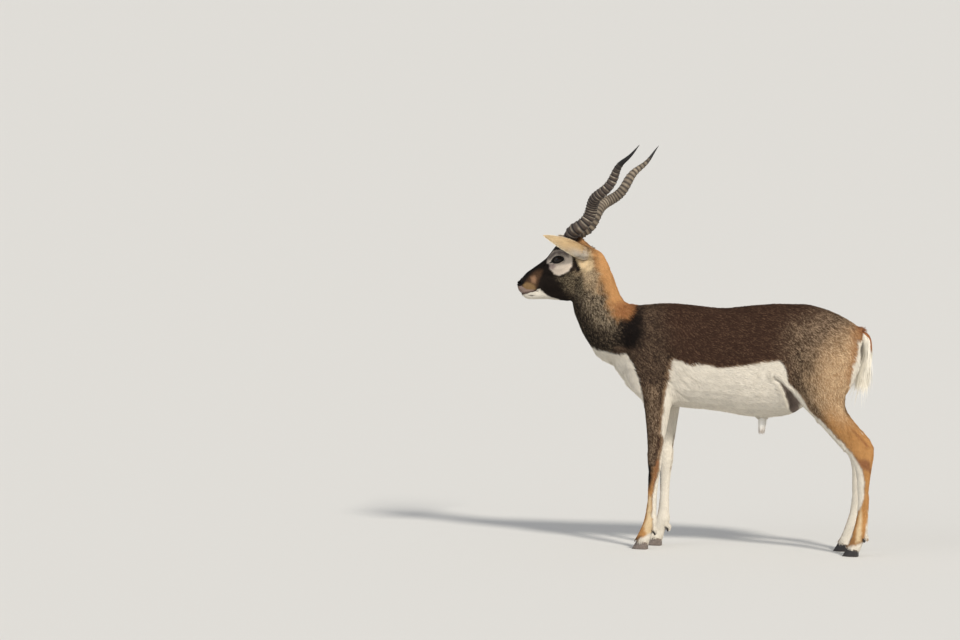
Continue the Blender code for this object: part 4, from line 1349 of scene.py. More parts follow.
    def face_strokes(self) -> list[Stroke]:
        """Bones and folds of the face, drawn on the fine skin."""
        mouth = ((-501, 25, 796.5), (-504, 24.5, 797), (-521, 21.5, 794), (-536, 18.5, 790.5),
                 (-547, 14, 788.5), (-553.5, 8, 788), (-556, 0, 788))
        return [
            Stroke(mouth, 1.5, -2.6),
            Stroke(tuple((x, y, z + 4) for x, y, z in mouth), 3.0, 0.7),
            Stroke(((-500, 28, 800), (-492, 31, 799)), 3.0, -1.2),
            Stroke(((-566, 0, 818), (-566, 0, 796), (-558, 0, 789)), 1.4, -1.2),
            Stroke(((-470, 37, 893), (-474, 36, 884), (-477, 36, 876)), 3.0, -2.8),
            Stroke(((-466, 39, 896), (-468, 39, 884), (-470, 39, 873)), 3.5, 1.2),
            Stroke(((-480, 34, 893), (-483, 33, 882), (-484, 33, 872)), 3.5, 1.0),
            Stroke(((-456, 43, 914), (-436, 47, 921), (-414, 48, 916)), 7, 2.0),
            Stroke(((-450, 46, 867), (-425, 51, 868), (-396, 52, 880), (-372, 49, 893)), 7, 1.8),
            Stroke(((-490, 34, 850), (-465, 40, 848), (-440, 45, 840)), 9, -2.0),
            Stroke(((-530, 26, 838), (-500, 31, 846)), 9, -1.4),
            Stroke(((-410, 44, 835), (-400, 44, 808)), 20, 2.2),
            Stroke(((-370, 0, 911), (-357, 0, 910), (-349, 0, 907)), 7, 3.5, flat=True, beyond=30),
            Stroke(((-386, 0, 906), (-370, 0, 899), (-356, 0, 894), (-344, 0, 897)), 3, -2.0, flat=True,
                   beyond=30),
        ]

    def level(self, side: Side) -> Array:
        """The skin's points without the head's tilt, so mirrored that the given side is the right one."""
        return BUILD.rolled(self.sheet.points, back=True) * side.mirror

    def carve_eye(self) -> None:
        """Open the skin at the eyes and roll its edge over the eyeball."""
        lids = self.lids
        for side in Side:
            level = self.level(side)
            a, b, c = lids.local(level)
            near = np.flatnonzero((a * a + b * b < 0.036 ** 2) & (c > -0.004) & (c < 0.04))
            a, b, c = a[near], b[near], c[near]
            _, beyond = lids.beyond(a, b)
            ball = lids.radius
            rim = ball + 0.0026 - 0.0010 * np.clip(beyond / 0.006, 0, 1)
            inside = ball - 0.0035
            sphere = np.where(beyond < 0.0009, inside, rim)
            flat = np.minimum(np.hypot(a, b), sphere * 0.985)
            wanted = np.sqrt(np.maximum(sphere ** 2 - flat ** 2, 1e-8))
            share = 1 - step_between(beyond, 0.0015, 0.0105)
            fold = 0.0016 * np.exp(-(((beyond - 0.0052) / 0.0016) ** 2)) * step_between(b, -0.002, 0.006)
            bag = 0.0011 * np.exp(-(((beyond - 0.0050) / 0.0014) ** 2)) * step_between(-b, 0.000, 0.006)
            moved = mix(c, wanted, share) - fold - bag
            point = level[near]
            point[:, 1] += moved - c
            self.sheet.points[near] = BUILD.rolled(point * side.mirror)

    def carve_nostril(self) -> None:
        """Open the nostrils as commas with a raised wing."""
        lean = self.nostril_lean
        for side in Side:
            level = self.level(side)
            away = (level - np.array(self.nostril)) / MM
            along = away[:, 0] * math.cos(lean) + away[:, 2] * math.sin(lean)
            across = -away[:, 0] * math.sin(lean) + away[:, 2] * math.cos(lean)
            across = across - 0.05 * along ** 2
            near = np.flatnonzero((np.abs(away) < 16).all(axis=1) & (level[:, 1] > 0))
            ring = np.sqrt((along[near] / 7.0) ** 2 + (across[near] / 2.7) ** 2)
            deep = -5.5 * np.exp(-(ring ** 2) * 1.1) + 1.5 * np.exp(-(((ring - 2.0) / 0.7) ** 2))
            normal = self.sheet.normals()[near]
            self.sheet.points[near] += normal * (deep * MM)[:, None]

    def form(self) -> None:
        """Make the skin: wrap, smooth, sink it by the coat's depth and draw its forms."""
        self.sheet = self.wrap()
        LOG.info("skin wrapped: %d faces", len(self.sheet.quads))
        self.know()
        strength = self.sheet.spread(self.by_part(lambda part: part.smooth), 12)
        self.sheet.relax(np.sqrt(strength), self.passes)
        depth = self.sheet.spread(self.by_part(lambda part: part.depth), 12) * MM + self.overlap
        self.sheet.points -= self.sheet.normals() * depth[:, None]
        self.draw(self.strokes())
        middle, head = self.head_faces()
        self.grow(head & (middle[:, 0] < -0.33), 4)
        middle, head = self.head_faces()
        near_eye = np.zeros(len(middle), dtype=bool)
        for side in Side:
            eye = BUILD.rolled(np.array([self.lids.centre]) * side.mirror)[0]
            near_eye |= np.linalg.norm(middle - eye, axis=1) < 0.034
        self.grow(near_eye | (head & (middle[:, 0] < -0.496)), 3)
        self.draw(self.face_strokes())
        self.carve_nostril()
        self.carve_eye()

    def head_faces(self) -> tuple[Array, Array]:
        """Middle of each four-sided face, and whether it is on the head."""
        quads = self.sheet.quads
        return self.sheet.points[quads].mean(axis=1), self.part[quads[:, 0]] == Part.HEAD.number

    def grow(self, chosen: Array, passes: int) -> None:
        """Make a stretch of the skin finer and round off its new points.

        Args:
            chosen: Which of the four-sided faces are split.
            passes: How often the new points are smoothed.
        """
        before = len(self.sheet.points)
        quads = self.sheet.quads[chosen]
        self.sheet.refine(chosen)
        count = len(self.sheet.points)
        fresh = np.zeros(count)
        fresh[before:] = 1.0
        fresh[np.unique(quads)] = 1.0
        part = np.full(count, -1)
        limb = np.full(count, -1)
        part[:before] = self.part
        limb[:before] = self.limb
        a, b = self.sheet.edges().T
        while (part < 0).any():
            for one, other in ((a, b), (b, a)):
                bare = (part[one] < 0) & (part[other] >= 0)
                part[one[bare]] = part[other[bare]]
                limb[one[bare]] = limb[other[bare]]
        self.part = part
        self.limb = limb
        self.sheet.relax(fresh * 0.9, passes)

    def draw(self, strokes: list[Stroke]) -> None:
        """Draw ridges and furrows into the skin along its own normals."""
        head = self.head_share()
        seen = self.left_axes(self.sheet.points, self.limb, head)
        lift = sum(stroke.lift(seen) for stroke in strokes)
        self.sheet.points += self.sheet.normals() * lift[:, None]

    def head_share(self) -> Array:
        """Which points take the head's own tilt back."""
        return np.isin(self.part, (Part.HEAD.number, Part.NECK.number)).astype(float)

    def surround(self) -> dict[str, Array]:
        """What the markings need to know about each point of the skin."""
        points = self.sheet.points
        seen = self.left_axes(points, self.limb, self.head_share())
        aside = seen[:, 1] / MM
        head = self.sheet.spread((self.part == Part.HEAD.number).astype(float), 6)
        leg = self.sheet.spread((self.part >= Part.ARM.number).astype(float), 10)
        middle = np.where(points[:, 0] < 0.2, BUILD.fore_middle, BUILD.hind_middle)
        normal = self.sheet.spread(self.sheet.normals(), 6)
        inward = -unit(normal)[:, 1] * np.sign(points[:, 1])
        inward = inward - 0.55 * np.clip(unit(normal)[:, 0], 0, 1) * (points[:, 0] > 0.2)
        inward = np.where(aside < middle / MM + 12, inward, -1.0)
        seen = seen + np.array((0.0, 0.0, 0.0022)) * head[:, None]
        return {"seen": seen, "aside": aside, "head": head, "leg": leg, "inward": inward,
                "lashes": self.eye_line()}

    def eye_line(self) -> Array:
        """Share of the black line round the eyes, wider at its front corner."""
        share = np.zeros(len(self.sheet.points))
        for side in Side:
            a, b, c = self.lids.local(self.level(side))
            turn, beyond = self.lids.beyond(a, b)
            wide = 3.0 + 8.0 * np.clip(np.cos(turn), 0, 1) ** 14 + 1.6 * np.clip(-np.cos(turn), 0, 1) ** 6
            share = np.maximum(share, step_between(wide - beyond / MM, -0.9, 0.9) * (c > 0))
        return share

    def hollows(self) -> Array:
        """How hollow the skin is at each point, from 0 to 1, where flat hair would sink into it."""
        rise = self.sheet.spread(self.sheet.points, 8) - self.sheet.points
        return step_between((rise * self.sheet.normals()).sum(axis=1), 0.00002, 0.00016)

    def near_roots(self) -> Array:
        """How near each point is to the foot of an ear or a horn, from 0 to 1."""
        out = np.zeros(len(self.sheet.points))
        for side in Side:
            feet = np.array((sided(self.ear_foot, side), sided(self.horn_foot, side)))
            for place, reach in zip(BUILD.rolled(feet), (0.022, 0.024)):
                away = np.linalg.norm(self.sheet.points - place, axis=1)
                out = np.maximum(out, np.exp(-((away / reach) ** 4)))
        return out * (self.part <= Part.NECK.number)

    def lie(self) -> Array:
        """Direction in which the hair lies at each point of the skin.

        Returns:
            A direction a point.
        """
        flow = self.by_part(lambda part: part.lie).astype(float)
        seen = self.left_axes(self.sheet.points, self.limb, self.head_share()) / MM
        head = self.part == Part.HEAD.number
        low = head & (seen[:, 2] < 850) & (seen[:, 0] > -480)
        flow[low] = (0.85, 0.0, -0.35)
        flow = self.sheet.spread(flow, 40)
        normal = self.sheet.normals()
        flow = flow - normal * (flow * normal).sum(axis=1, keepdims=True)
        return unit(flow)

    def dress(self, markings: Markings, finish: Material) -> Thing:
        """Make the piece with its colours.

        Args:
            markings: The coat's colours.
            finish: The skin's material.

        Returns:
            The skin.
        """
        ground, fleck, share = markings.tints(**self.surround())
        colours = mix(ground, fleck, share[:, None])
        piece = Maker.piece("skin", self.sheet.points, [self.sheet.quads, self.sheet.rims], finish,
                            "coat_dark", tuple(self.nodes()))
        bare = self.bare()
        # Haired skin is painted 15% darker, painted shade under the coat; bare skin keeps its colour.
        dark = np.where(bare > 0.5, 1.0, 0.85)
        Maker.colour(piece, colours * dark[:, None], bare)
        return piece

    def bare(self) -> Array:
        """Share of bare skin at each point: the nose pad, the lips' edges and the lids' edges.

        Returns:
            A share from 0 to 1 a point.
        """
        level = BUILD.rolled(self.sheet.points, back=True) / MM
        nose = step_between(-level[:, 0], 547, 552) * step_between(level[:, 2], 807, 812)
        mouth = np.array(Markings.mouth)[::-1]
        line = np.interp(level[:, 0], mouth[:, 0], mouth[:, 1])
        lips = step_between(2.4 - np.abs(level[:, 2] + 2.2 - line), -0.5, 0.5) * (level[:, 0] < -499)
        lids = np.zeros(len(level))
        for side in Side:
            a, b, c = self.lids.local(level * MM * side.mirror)
            _, beyond = self.lids.beyond(a, b)
            lids = np.maximum(lids, step_between(2.4 - beyond / MM, -0.6, 0.6) * (c > 0))
        return np.maximum(np.maximum(nose, lips), lids) * (self.part == Part.HEAD.number)


def sided(place: Triple | Vector, side: Side) -> Vector:
    """A place given on the right side, or its mirror on the left."""
    return Vector((place[0], place[1] * side.value, place[2]))


def sweep(rings: Array, caps: bool = True) -> tuple[Array, list]:
    """Points and faces of a tube through rings of the same number of points.

    Args:
        rings: Array of rings, points and coordinates.
        caps: Whether the first and the last ring are closed.

    Returns:
        Its points and its faces.
    """
    count, sides = rings.shape[:2]
    k, i = np.meshgrid(np.arange(count - 1), np.arange(sides), indexing="ij")
    j = (i + 1) % sides
    quads = np.stack([k * sides + i, k * sides + j, (k + 1) * sides + j, (k + 1) * sides + i], -1)
    ends = [tuple(range(sides - 1, -1, -1)), tuple(range((count - 1) * sides, count * sides))]
    quads = quads.reshape(-1, 4)
    return rings.reshape(-1, 3), [quads, ends] if caps else [quads]


@dataclass
class Horns:
    """The pair of ringed horns, each an open corkscrew."""

    base: Vector = field(default_factory=lambda: Vector((-0.3950, 0.0265, 0.9655)))
    tip: Vector = field(default_factory=lambda: Vector((-0.158, 0.166, 1.260)))
    radius: float = 0.0215
    rings: dict[Side, int] = field(default_factory=lambda: {Side.LEFT: 23, Side.RIGHT: 28})
    ringed: dict[Side, float] = field(default_factory=lambda: {Side.LEFT: 0.77, Side.RIGHT: 0.88})
    turns: float = 2.72
    sway: float = 0.0100
    lag: dict[Side, float] = field(default_factory=lambda: {Side.LEFT: -0.09, Side.RIGHT: 0.04})
    bow: dict[Side, float] = field(default_factory=lambda: {Side.LEFT: 0.0075, Side.RIGHT: -0.0060})
    sides: int = 48
    steps: int = 16

    def axis(self, side: Side) -> tuple[Vector, Vector, Vector, Vector, Vector]:
        """Foot, tip and directions of one horn's straight axis.

        Args:
            side: Which horn.

        Returns:
            Foot, tip, and the directions along it, to its front and outward.
        """
        foot = sided(self.base, side)
        tip = sided(self.tip, side)
        along = (tip - foot).normalized()
        front = Vector((-1, 0, 0))
        front = (front - along * front.dot(along)).normalized()
        return foot, tip, along, front, front.cross(along) * side.value

    def centre(self, side: Side, s: float) -> Vector:
        """Centre line of a horn: a corkscrew that opens from its foot and closes at its tip.

        Args:
            side: Which horn.
            s: Share of its length.

        Returns:
            A point of the line.
        """
        foot, tip, _, front, out = self.axis(side)
        sway = self.sway * min(1.0, 0.35 + s / 0.20) * (1 - 0.64 * s) * min(1.0, 5 * (1 - s))
        turn = 2 * math.pi * (self.turns * s + self.lag[side])
        bow = self.bow[side] * math.sin(math.pi * max(0.0, s) ** 1.7)
        return foot.lerp(tip, s) + front * (sway * math.cos(turn) + bow) + out * (sway * math.sin(turn))

    def thickness(self, s: float) -> float:
        """Mean radius of a horn at a share of its length."""
        return self.radius * (1 - 0.52 * s) * min(1.0, 2.15 * (1 - s) ** 0.78 + 0.02)

    def stations(self, side: Side) -> list[Triple]:
        """Places along a horn: share of its length, swell, and place within its ring from 0 to 1.

        The rings stand wide apart at the foot, close in the lower middle and wider again above.
        """
        out = [(-0.02, 1.03, -1.0), (0.0, 1.03, -1.0), (0.004, 1.0, -1.0)]
        count = self.rings[side]
        share = np.arange(count) / count
        pitch = 1.35 - 0.62 * step_between(share, 0.05, 0.30) + 0.45 * step_between(share, 0.45, 0.85)
        place = 0.010
        pitch = pitch / pitch.sum() * (self.ringed[side] - place)
        for k in range(count):
            depth = 0.150 * (1 - 0.30 * share[k])
            for n in range(self.steps):
                t = n / self.steps
                plate = 0.62 * (1 - abs(2 * t - 1) ** 4)
                crest = plate + 0.62 * math.exp(-(((t - 0.80) / 0.12) ** 2))
                out.append((place + t * pitch[k], 1 - 0.75 * depth + 1.15 * depth * crest, t))
            place += pitch[k]
        for n in range(1, 25):
            t = n / 24
            out.append((place + (1.0 - place) * t, 1.0 - 0.03 * (1 - t), -1.0))
        return out

    def shade(self, side: Side, s: float, t: float, turn: Array, phase: float) -> Array:
        """Colours round one ring of points: the near horn darker with painted shade, the far horn paler with
        painted light.

        Args:
            side: Which horn.
            s: Share of the horn's length.
            t: Place within its ring, or below 0 on smooth horn.
            turn: Angles of the points.
            phase: Where the pale crest of this ring starts round it.

        Returns:
            A colour a point.
        """
        near = side is Side.LEFT
        # The near horn is painted darker as painted shade, and the far horn paler as painted light.
        base = tone(72, 60, 52) if near else tone(112, 100, 85)
        worn = tone(198, 184, 162) if near else tone(152, 139, 120)
        gap = tone(16, 13, 12) if near else tone(30, 24, 21)
        black = tone(16, 14, 13)
        # Pale crests are worn horn with a painted highlight; dark grooves are partly painted shade.
        crest = 0.0 if t < 0 else math.exp(-(((t - (0.76 if near else 0.5)) / (0.12 if near else 0.22)) ** 2))
        dark = 0.35 if t < 0 else math.exp(-((min(t, 1 - t) / 0.14) ** 2))
        if t >= 0 and not near:
            dark = max(dark * 0.8, 0.9 * math.exp(-(((t - 0.84) / 0.10) ** 2)))
        wear_and_highlight = np.clip(0.62 + 0.38 * np.sin(turn * 2 + phase) + 0.2 * np.sin(turn * 7 + 3 * phase), 0, 1)
        wear_and_highlight = wear_and_highlight[:, None] * crest * (0.65 + 0.35 * math.sin(phase * 5))
        shade = mix(mix(base, worn, wear_and_highlight), gap, dark)
        foot = 0.45 * max(0.0, 1 - max(s, 0.0) / 0.07)
        shade = mix(shade, tone(70, 56, 56), foot)
        end = float(step_between(np.array(s), self.ringed[side] - 0.08, self.ringed[side] + 0.03))
        return mix(shade, black, end)

    def make(self, side: Side, finish: Material) -> Thing:
        """One horn.

        Args:
            side: Which of the two.
            finish: Its material.

        Returns:
            The horn.
        """
        stations = self.stations(side)
        points = [self.centre(side, s) for s, _, _ in stations]
        _, _, along, front, _ = self.axis(side)
        draw = np.random.default_rng(SEED + side.value)
        turn = circle(self.sides)
        rings = []
        colours = []
        wobble = draw.uniform(-1, 1, (6, 3))
        phase = 0.0
        for index, (s, swell, t) in enumerate(stations):
            p = points[index]
            after = points[min(len(points) - 1, index + 1)]
            before = points[max(0, index - 1)]
            ahead = (after - before).normalized() if index > 1 else along
            up = (front - ahead * ahead.dot(front)).normalized()
            across = ahead.cross(up)
            r = self.thickness(max(0.0, s)) * swell
            uneven = sum(w[0] * np.cos((n + 1) * turn + w[1] * 3 + s * 40 * w[2])
                         for n, w in enumerate(wobble))
            ridge = 1 + max(0.0, swell - 1) * 0.16 * uneven
            tilt = 0.10 * r * np.cos(turn) * min(1.0, max(0.0, s) * 12)
            ring = (np.array(p) + np.outer(r * 0.96 * np.cos(turn) * ridge, across)
                    + np.outer(r * np.sin(turn) * ridge, up) + np.outer(tilt, ahead))
            rings.append(ring)
            if t == 0:
                phase = draw.uniform(0, 2 * math.pi)
            colours.append(self.shade(side, s, t, turn, phase))
        return Maker.tube(f"horn_{side.word}_ringed", rings, colours, finish, "horn",
                          (f"horn_{side.word}",), tilted=True)


@dataclass
class Ears:
    """The two leaf-shaped ears with their cups, thin rims and inner hair."""

    root: Vector = field(default_factory=lambda: Vector((-0.352, 0.043, 0.921)))
    bend: Vector = field(default_factory=lambda: Vector((-0.374, 0.083, 0.938)))
    tip: Vector = field(default_factory=lambda: Vector((-0.474, 0.108, 0.967)))
    opens: Vector = field(default_factory=lambda: Vector((-0.46, -0.80, -0.35)))
    half_width: float = 0.0240
    root_radius: float = 0.0140
    widest: float = 0.38
    lengthwise: int = 56
    widthwise: int = 36

    def axes(self, side: Side, u: float) -> tuple[Vector, Vector, Vector, Vector]:
        """Middle point, direction, opening and width directions of one ear at a share of its length.

        Args:
            side: Which ear.
            u: Share of its length.

        Returns:
            The point and the three directions.
        """
        root, bend, tip = (sided(p, side) for p in (self.root, self.bend, self.tip))
        point = root * (1 - u) ** 2 + bend * (2 * u * (1 - u)) + tip * u * u
        along = ((bend - root) * (1 - u) + (tip - bend) * u).normalized()
        opens = sided(self.opens, side)
        opens = (opens - along * opens.dot(along)).normalized()
        return point, along, opens, along.cross(opens)

    def section(self, u: float) -> Triple:
        """Half width, half angle and thickness of an ear at a share of its length.

        Args:
            u: Share of its length.

        Returns:
            The three sizes, the angle in radians.
        """
        swell = self.half_width - self.root_radius
        width = self.root_radius + swell * math.sin(math.pi / 2 * min(1.0, u / self.widest))
        if u > self.widest:
            width = self.half_width * max(0.02, 1 - ((u - self.widest) / (1 - self.widest)) ** 2.1)
        spread = 2.75 - 1.45 * min(1.0, u / 0.35) - 0.65 * max(0.0, u - 0.35) / 0.65
        thick = 0.0016 + 0.0070 * max(0.0, 1 - u / 0.14)
        return width, spread, thick

    def surface(self, side: Side, u: float, v: Array, inner: float) -> Array:
        """A row of points across the ear.

        Args:
            side: Which ear.
            u: Share of its length.
            v: Shares across it, from -1 to 1.
            inner: 0 on its back, 1 inside its cup.

        Returns:
            The row's points.
        """
        width, spread, thick = self.section(u)
        arc = width / math.sin(min(spread, math.pi / 2))
        thin = thick * (1 - 0.75 * np.abs(v) ** 3)
        r = arc - inner * np.minimum(thin, 0.8 * arc)
        middle, _, opens, across = self.axes(side, u)
        hub = middle + opens * (arc - self.root_radius)
        turn = v * spread
        out = np.outer(np.sin(turn) * r, across) - np.outer(np.cos(turn) * r, opens)
        return np.array(hub) + out

    def make(self, side: Side, finish: Material) -> Thing:
        """One ear.

        Args:
            side: Which of the two.
            finish: Its material.

        Returns:
            The ear.
        """
        v = np.linspace(-1, 1, self.widthwise + 1)
        rings = []
        colours = []
        rim_tone = tone(240, 226, 198)
        inside = tone(168, 152, 138)
        deep = tone(96, 80, 72)
        for k in range(self.lengthwise + 1):
            u = k / self.lengthwise * 0.985
            outer = self.surface(side, u, v, 0.0)
            inner = self.surface(side, u, v, 1.0)[::-1]
            rings.append(np.concatenate([outer, inner]))
            edge = (np.abs(v) ** 4)[:, None]
            back = mix(self.back_tones(np.full(len(v), u), v), rim_tone, edge)
            # Inside the cup the colour darkens towards the root: painted shade deep in the hollow.
            cup = mix(inside * min(1.0, 0.35 + u) + deep * max(0.0, 0.65 - u), rim_tone, edge)
            colours.append(np.concatenate([back, cup[::-1]]))
        return Maker.tube(f"ear_{side.word}_leaf", rings, colours, finish, "ear_buff",
                          (f"ear_{side.word}",), tilted=True)

    @staticmethod
    def back_tones(u: Array, v: Array) -> Array:
        """Colours on the back of an ear: buff above, whitish at the lower part of its root, with painted
        shade at its lowest edge.

        Args:
            u: Shares of the ear's length.
            v: Shares across it, from -1 to 1.

        Returns:
            A colour a place.
        """
        low = step_between(v, -0.1, 0.7) * (1 - step_between(u, 0.20, 0.62))
        shade = mix(tone(188, 159, 118), tone(206, 181, 141), step_between(u, 0.35, 0.9)[:, None])
        shade = mix(shade, tone(206, 197, 184), low[:, None])
        # Painted shade along the lower edge of the ear's root.
        root_shade = step_between(v, 0.2, 0.8) * (1 - step_between(u, 0.06, 0.24))
        return mix(shade, tone(120, 110, 104), 0.6 * root_shade[:, None])

    def hair(self, side: Side, finish: Material) -> Thing:
        """Short hair on the back of one ear, along its rims and inside its cup.

        Args:
            side: Which of the two.
            finish: The hair's material.

        Returns:
            The hair.
        """
        draw = np.random.default_rng(SEED + 7)
        counts = {"back": 1300, "rim": 420, "cup": 380, "wool": 260}
        rows = []
        for kind, count in counts.items():
            for _ in range(count):
                u = draw.uniform(0.0, 0.16 if kind == "wool" else 0.94)
                if kind == "rim":
                    v = draw.choice((-1.0, 1.0)) * draw.uniform(0.9, 1)
                else:
                    v = draw.uniform(-0.97, 0.97)
                inner = 1.0 if kind == "cup" else 0.0
                here = self.surface(side, u, np.array((v,)), inner)[0]
                ahead = self.surface(side, u + 0.03, np.array((v,)), inner)[0]
                beside = self.surface(side, u, np.array((v + 0.02,)), inner)[0]
                along = (ahead - here) / np.linalg.norm(ahead - here)
                across = (beside - here) / np.linalg.norm(beside - here)
                out = np.cross(across, along) * (-1 if inner else 1) * side.value
                rows.append((kind, u, v, here, along, across, out))
        kinds = np.array([row[0] for row in rows])
        u, v = (np.array([row[k] for row in rows]) for k in (1, 2))
        here, along, across, out = (np.array([row[k] for row in rows]) for k in (3, 4, 5, 6))
        n = len(rows)
        rim = (kinds == "rim")[:, None]
        aside = rim * across * np.sign(v)[:, None]
        heading = unit(along + out * 0.22 + aside * 0.35 + draw.normal(0, 0.08, (n, 3)))
        fall = unit(along + out * 0.03 + aside * 0.2 + draw.normal(0, 0.05, (n, 3)))
        length = draw.uniform(0.0035, 0.0055, n) + 0.0045 * np.clip(1 - u / 0.25, 0, 1)
        length = np.where(kinds == "cup", draw.uniform(0.006, 0.012, n), length)
        length = np.minimum(length, (1.0 - u) * 0.06 + 0.002)
        wool = kinds == "wool"
        back = unit(np.array((0.75, 0.0, -0.62)) + out * 0.30 + draw.normal(0, 0.14, (n, 3)))
        heading = np.where(wool[:, None], unit(back + out * 0.35), heading)
        fall = np.where(wool[:, None], unit(back - out * 0.25), fall)
        length = np.where(wool, draw.uniform(0.006, 0.010, n), length)
        width = draw.uniform(0.00030, 0.00055, n) * (1 + 0.8 * wool)
        shade = self.back_tones(u, v)
        shade = np.where(rim, tone(244, 231, 204), shade)
        shade = np.where((kinds == "cup")[:, None], tone(196, 184, 168), shade)
        shade = shade * draw.uniform(0.90, 1.06, (n, 1))
        above = step_between(-v, -0.3, 0.5)[:, None]
        blend = mix(tone(218, 207, 190), tone(206, 170, 122), above)
        shade = np.where(wool[:, None], blend * draw.uniform(0.85, 1.08, (n, 1)), shade)
        place = np.stack([0.5 + v * 0.48, 0.02 + u * 0.96], 1)
        locks = Locks(here + out * 0.0002, heading, out, fall, length, width, shade, 3, roll=True)
        return locks.make(f"ear_{side.word}_hair", finish, "ear_buff", place)


@dataclass
class Eyes:
    """The eyeballs and the black rims of their lids."""

    lids: Lids = field(default_factory=Lids)

    def ball(self, side: Side, finish: Material) -> Thing:
        """One eyeball with its iris, level pupil and swollen cornea.

        Args:
            side: Which of the two.
            finish: Its material.

        Returns:
            The eyeball.
        """
        rows, sides = 48, 64
        angle = np.linspace(0, math.pi, rows + 1)[1:-1]
        turn = circle(sides)
        ahead, upward, out = self.lids.axes()
        gaze = unit(out + ahead * 0.10 + upward * 0.02)
        along = unit(ahead - gaze * (ahead @ gaze))
        across = np.cross(gaze, along)
        iris = tone(34, 22, 15)
        iris_rim = tone(14, 10, 8)
        pupil = tone(5, 5, 8)
        white = tone(40, 30, 26)
        rings = []
        colours = []
        for tilt in [0.002, *angle, math.pi - 0.002]:
            bulge = 0.00045 * math.exp(-((tilt / 0.55) ** 4))
            r = self.lids.radius - 0.0001 + bulge
            ring = (gaze * (r * math.cos(tilt)) + np.outer(np.cos(turn), along) * (r * math.sin(tilt))
                    + np.outer(np.sin(turn), across) * (r * math.sin(tilt)))
            rings.append(ring + np.array(self.lids.centre))
            size = tilt * self.lids.radius / MM
            level = np.sqrt((size * np.cos(turn) / 6.0) ** 2 + (size * np.sin(turn) / 2.9) ** 2)
            shade = np.where(level[:, None] < 1, pupil, iris if size < 11.2 else white)
            if 9.8 < size < 11.2:
                shade = np.tile(iris_rim, (sides, 1))
            colours.append(shade)
        return Maker.tube(f"eyeball_{side.word}", np.array(rings) * side.mirror, colours, finish, "eye",
                          (f"eye_{side.word}",), tilted=True, flip=side is Side.LEFT)

    def rim(self, side: Side, finish: Material) -> Thing:
        """The bare dark edge of the lids round one eye.

        Args:
            side: Which of the two.
            finish: Its material.

        Returns:
            The rim.
        """
        count, sides = 96, 14
        turn = circle(count)
        a, b = self.lids.outline(turn)
        ahead, upward, out = self.lids.axes()
        reach = self.lids.radius + 0.0012
        depth = np.sqrt(np.maximum(reach ** 2 - a ** 2 - b ** 2, 1e-8))
        path = np.array(self.lids.centre) + np.outer(a, ahead) + np.outer(b, upward) + np.outer(depth, out)
        away = unit(path - np.array(self.lids.centre))
        outward = unit(np.outer(np.cos(turn), ahead) + np.outer(np.sin(turn) * 1.3, upward))
        corner = np.abs(np.cos(turn)) ** 8
        wide = 0.0019 + 0.0010 * corner
        rings = []
        for i in range(sides):
            q = 2 * math.pi * i / sides
            aside = outward * (wide * (math.cos(q) + 0.62))[:, None]
            rings.append(path + away * (0.0013 * math.sin(q)) + aside)
        ring = np.array(rings).transpose(1, 0, 2)
        ring = np.concatenate([ring, ring[:1]])
        places, faces = sweep(ring, caps=False)
        piece = Maker.piece(f"lid_rim_{side.word}", BUILD.rolled(places * side.mirror), faces, finish, "eye")
        if side is Side.RIGHT:
            piece.data.flip_normals()
        Maker.colour(piece, np.tile(tone(20, 16, 15), (len(places), 1)))
        return piece


@dataclass
class Hooves:
    """The cloven hooves, two claws a foot, with growth bands and a worn sole edge."""

    length: float = 0.0500
    half_width: float = 0.0170
    cleft: float = 0.0022
    lean: float = 0.0165
    front_height: float = 0.0275
    back_height: float = 0.0185
    fore_toe: float = -0.182
    hind_toe: float = 0.484
    fore_apart: float = 0.060
    hind_apart: float = 0.070

    def apart(self, limb: Limb) -> float:
        """Where the foot's middle stands, to the right of the middle plane."""
        return limb.side.value * (self.fore_apart if limb.fore else self.hind_apart)

    def level(self, x: Array, share: float) -> tuple[Array, Array]:
        """Where points of the sole's outline stand at a share of the claw's height: x and z."""
        back = x / self.length
        rise = self.front_height + (self.back_height - self.front_height) * back
        return x + self.lean * share * (1 - back), share * rise

    def claw(self, limb: Limb, inner: int, finish: Material) -> Thing:
        """One claw.

        Args:
            limb: The leg that it ends.
            inner: The side of the foot's own middle that it stands on, by the sign of y.
            finish: Its material.

        Returns:
            The claw.
        """
        toe_x = self.fore_toe if limb.fore else self.hind_toe
        toe_x += float(BUILD.leg_shift(limb, np.array(0.0)))
        t = np.linspace(0, 1, 26)
        wide = self.half_width * (0.20 + 0.80 * np.sin(math.pi / 2 * np.minimum(1, t * 1.7)) ** 0.9)
        wide = wide * np.where(t > 0.86, np.sqrt(np.maximum(0.05, 1 - ((t - 0.86) / 0.16) ** 2)), 1.0)
        rings = []
        colours = []
        for share in (0.0, 0.03, 0.10, *np.linspace(0.16, 1.0, 22), 1.12):
            x, z = self.level(t * self.length, share)
            band = 0.00022 * math.sin(share * 34) * (1 if 0.1 < share < 1 else 0)
            tuck = 0.0008 if share == 0 else 0.0
            out = wide * (1 - 0.08 * share) + band - tuck
            outer = np.stack([toe_x + x + tuck * (1 - t) * 2, inner * (self.cleft + out), z], 1)
            inside = np.stack([toe_x + x, np.full(len(x), inner * self.cleft), z], 1)[::-1]
            bulge = inner * 0.0008 * np.sin(np.pi * np.linspace(0, 1, len(x)))
            inside[:, 1] += bulge
            ring = np.concatenate([outer, inside])
            ring[:, 1] += self.apart(limb)
            rings.append(ring)
            edge = max(0.0, 1 - share / 0.10)
            coronet = max(0.0, (share - 0.86) / 0.14)
            plain = tone(112, 101, 93) if limb.fore else tone(40, 36, 36)
            shade = mix(mix(plain, tone(96, 86, 76), edge), tone(120, 106, 90), 0.5 * coronet)
            colours.append(np.tile(shade, (len(ring), 1)))
        word = "outer" if inner * limb.side.value > 0 else "inner"
        return Maker.tube(f"hoof_{limb.value}_{word}", rings, colours, finish, "hoof",
                          (f"{limb.value}_claw_{word}",), flip=inner > 0)


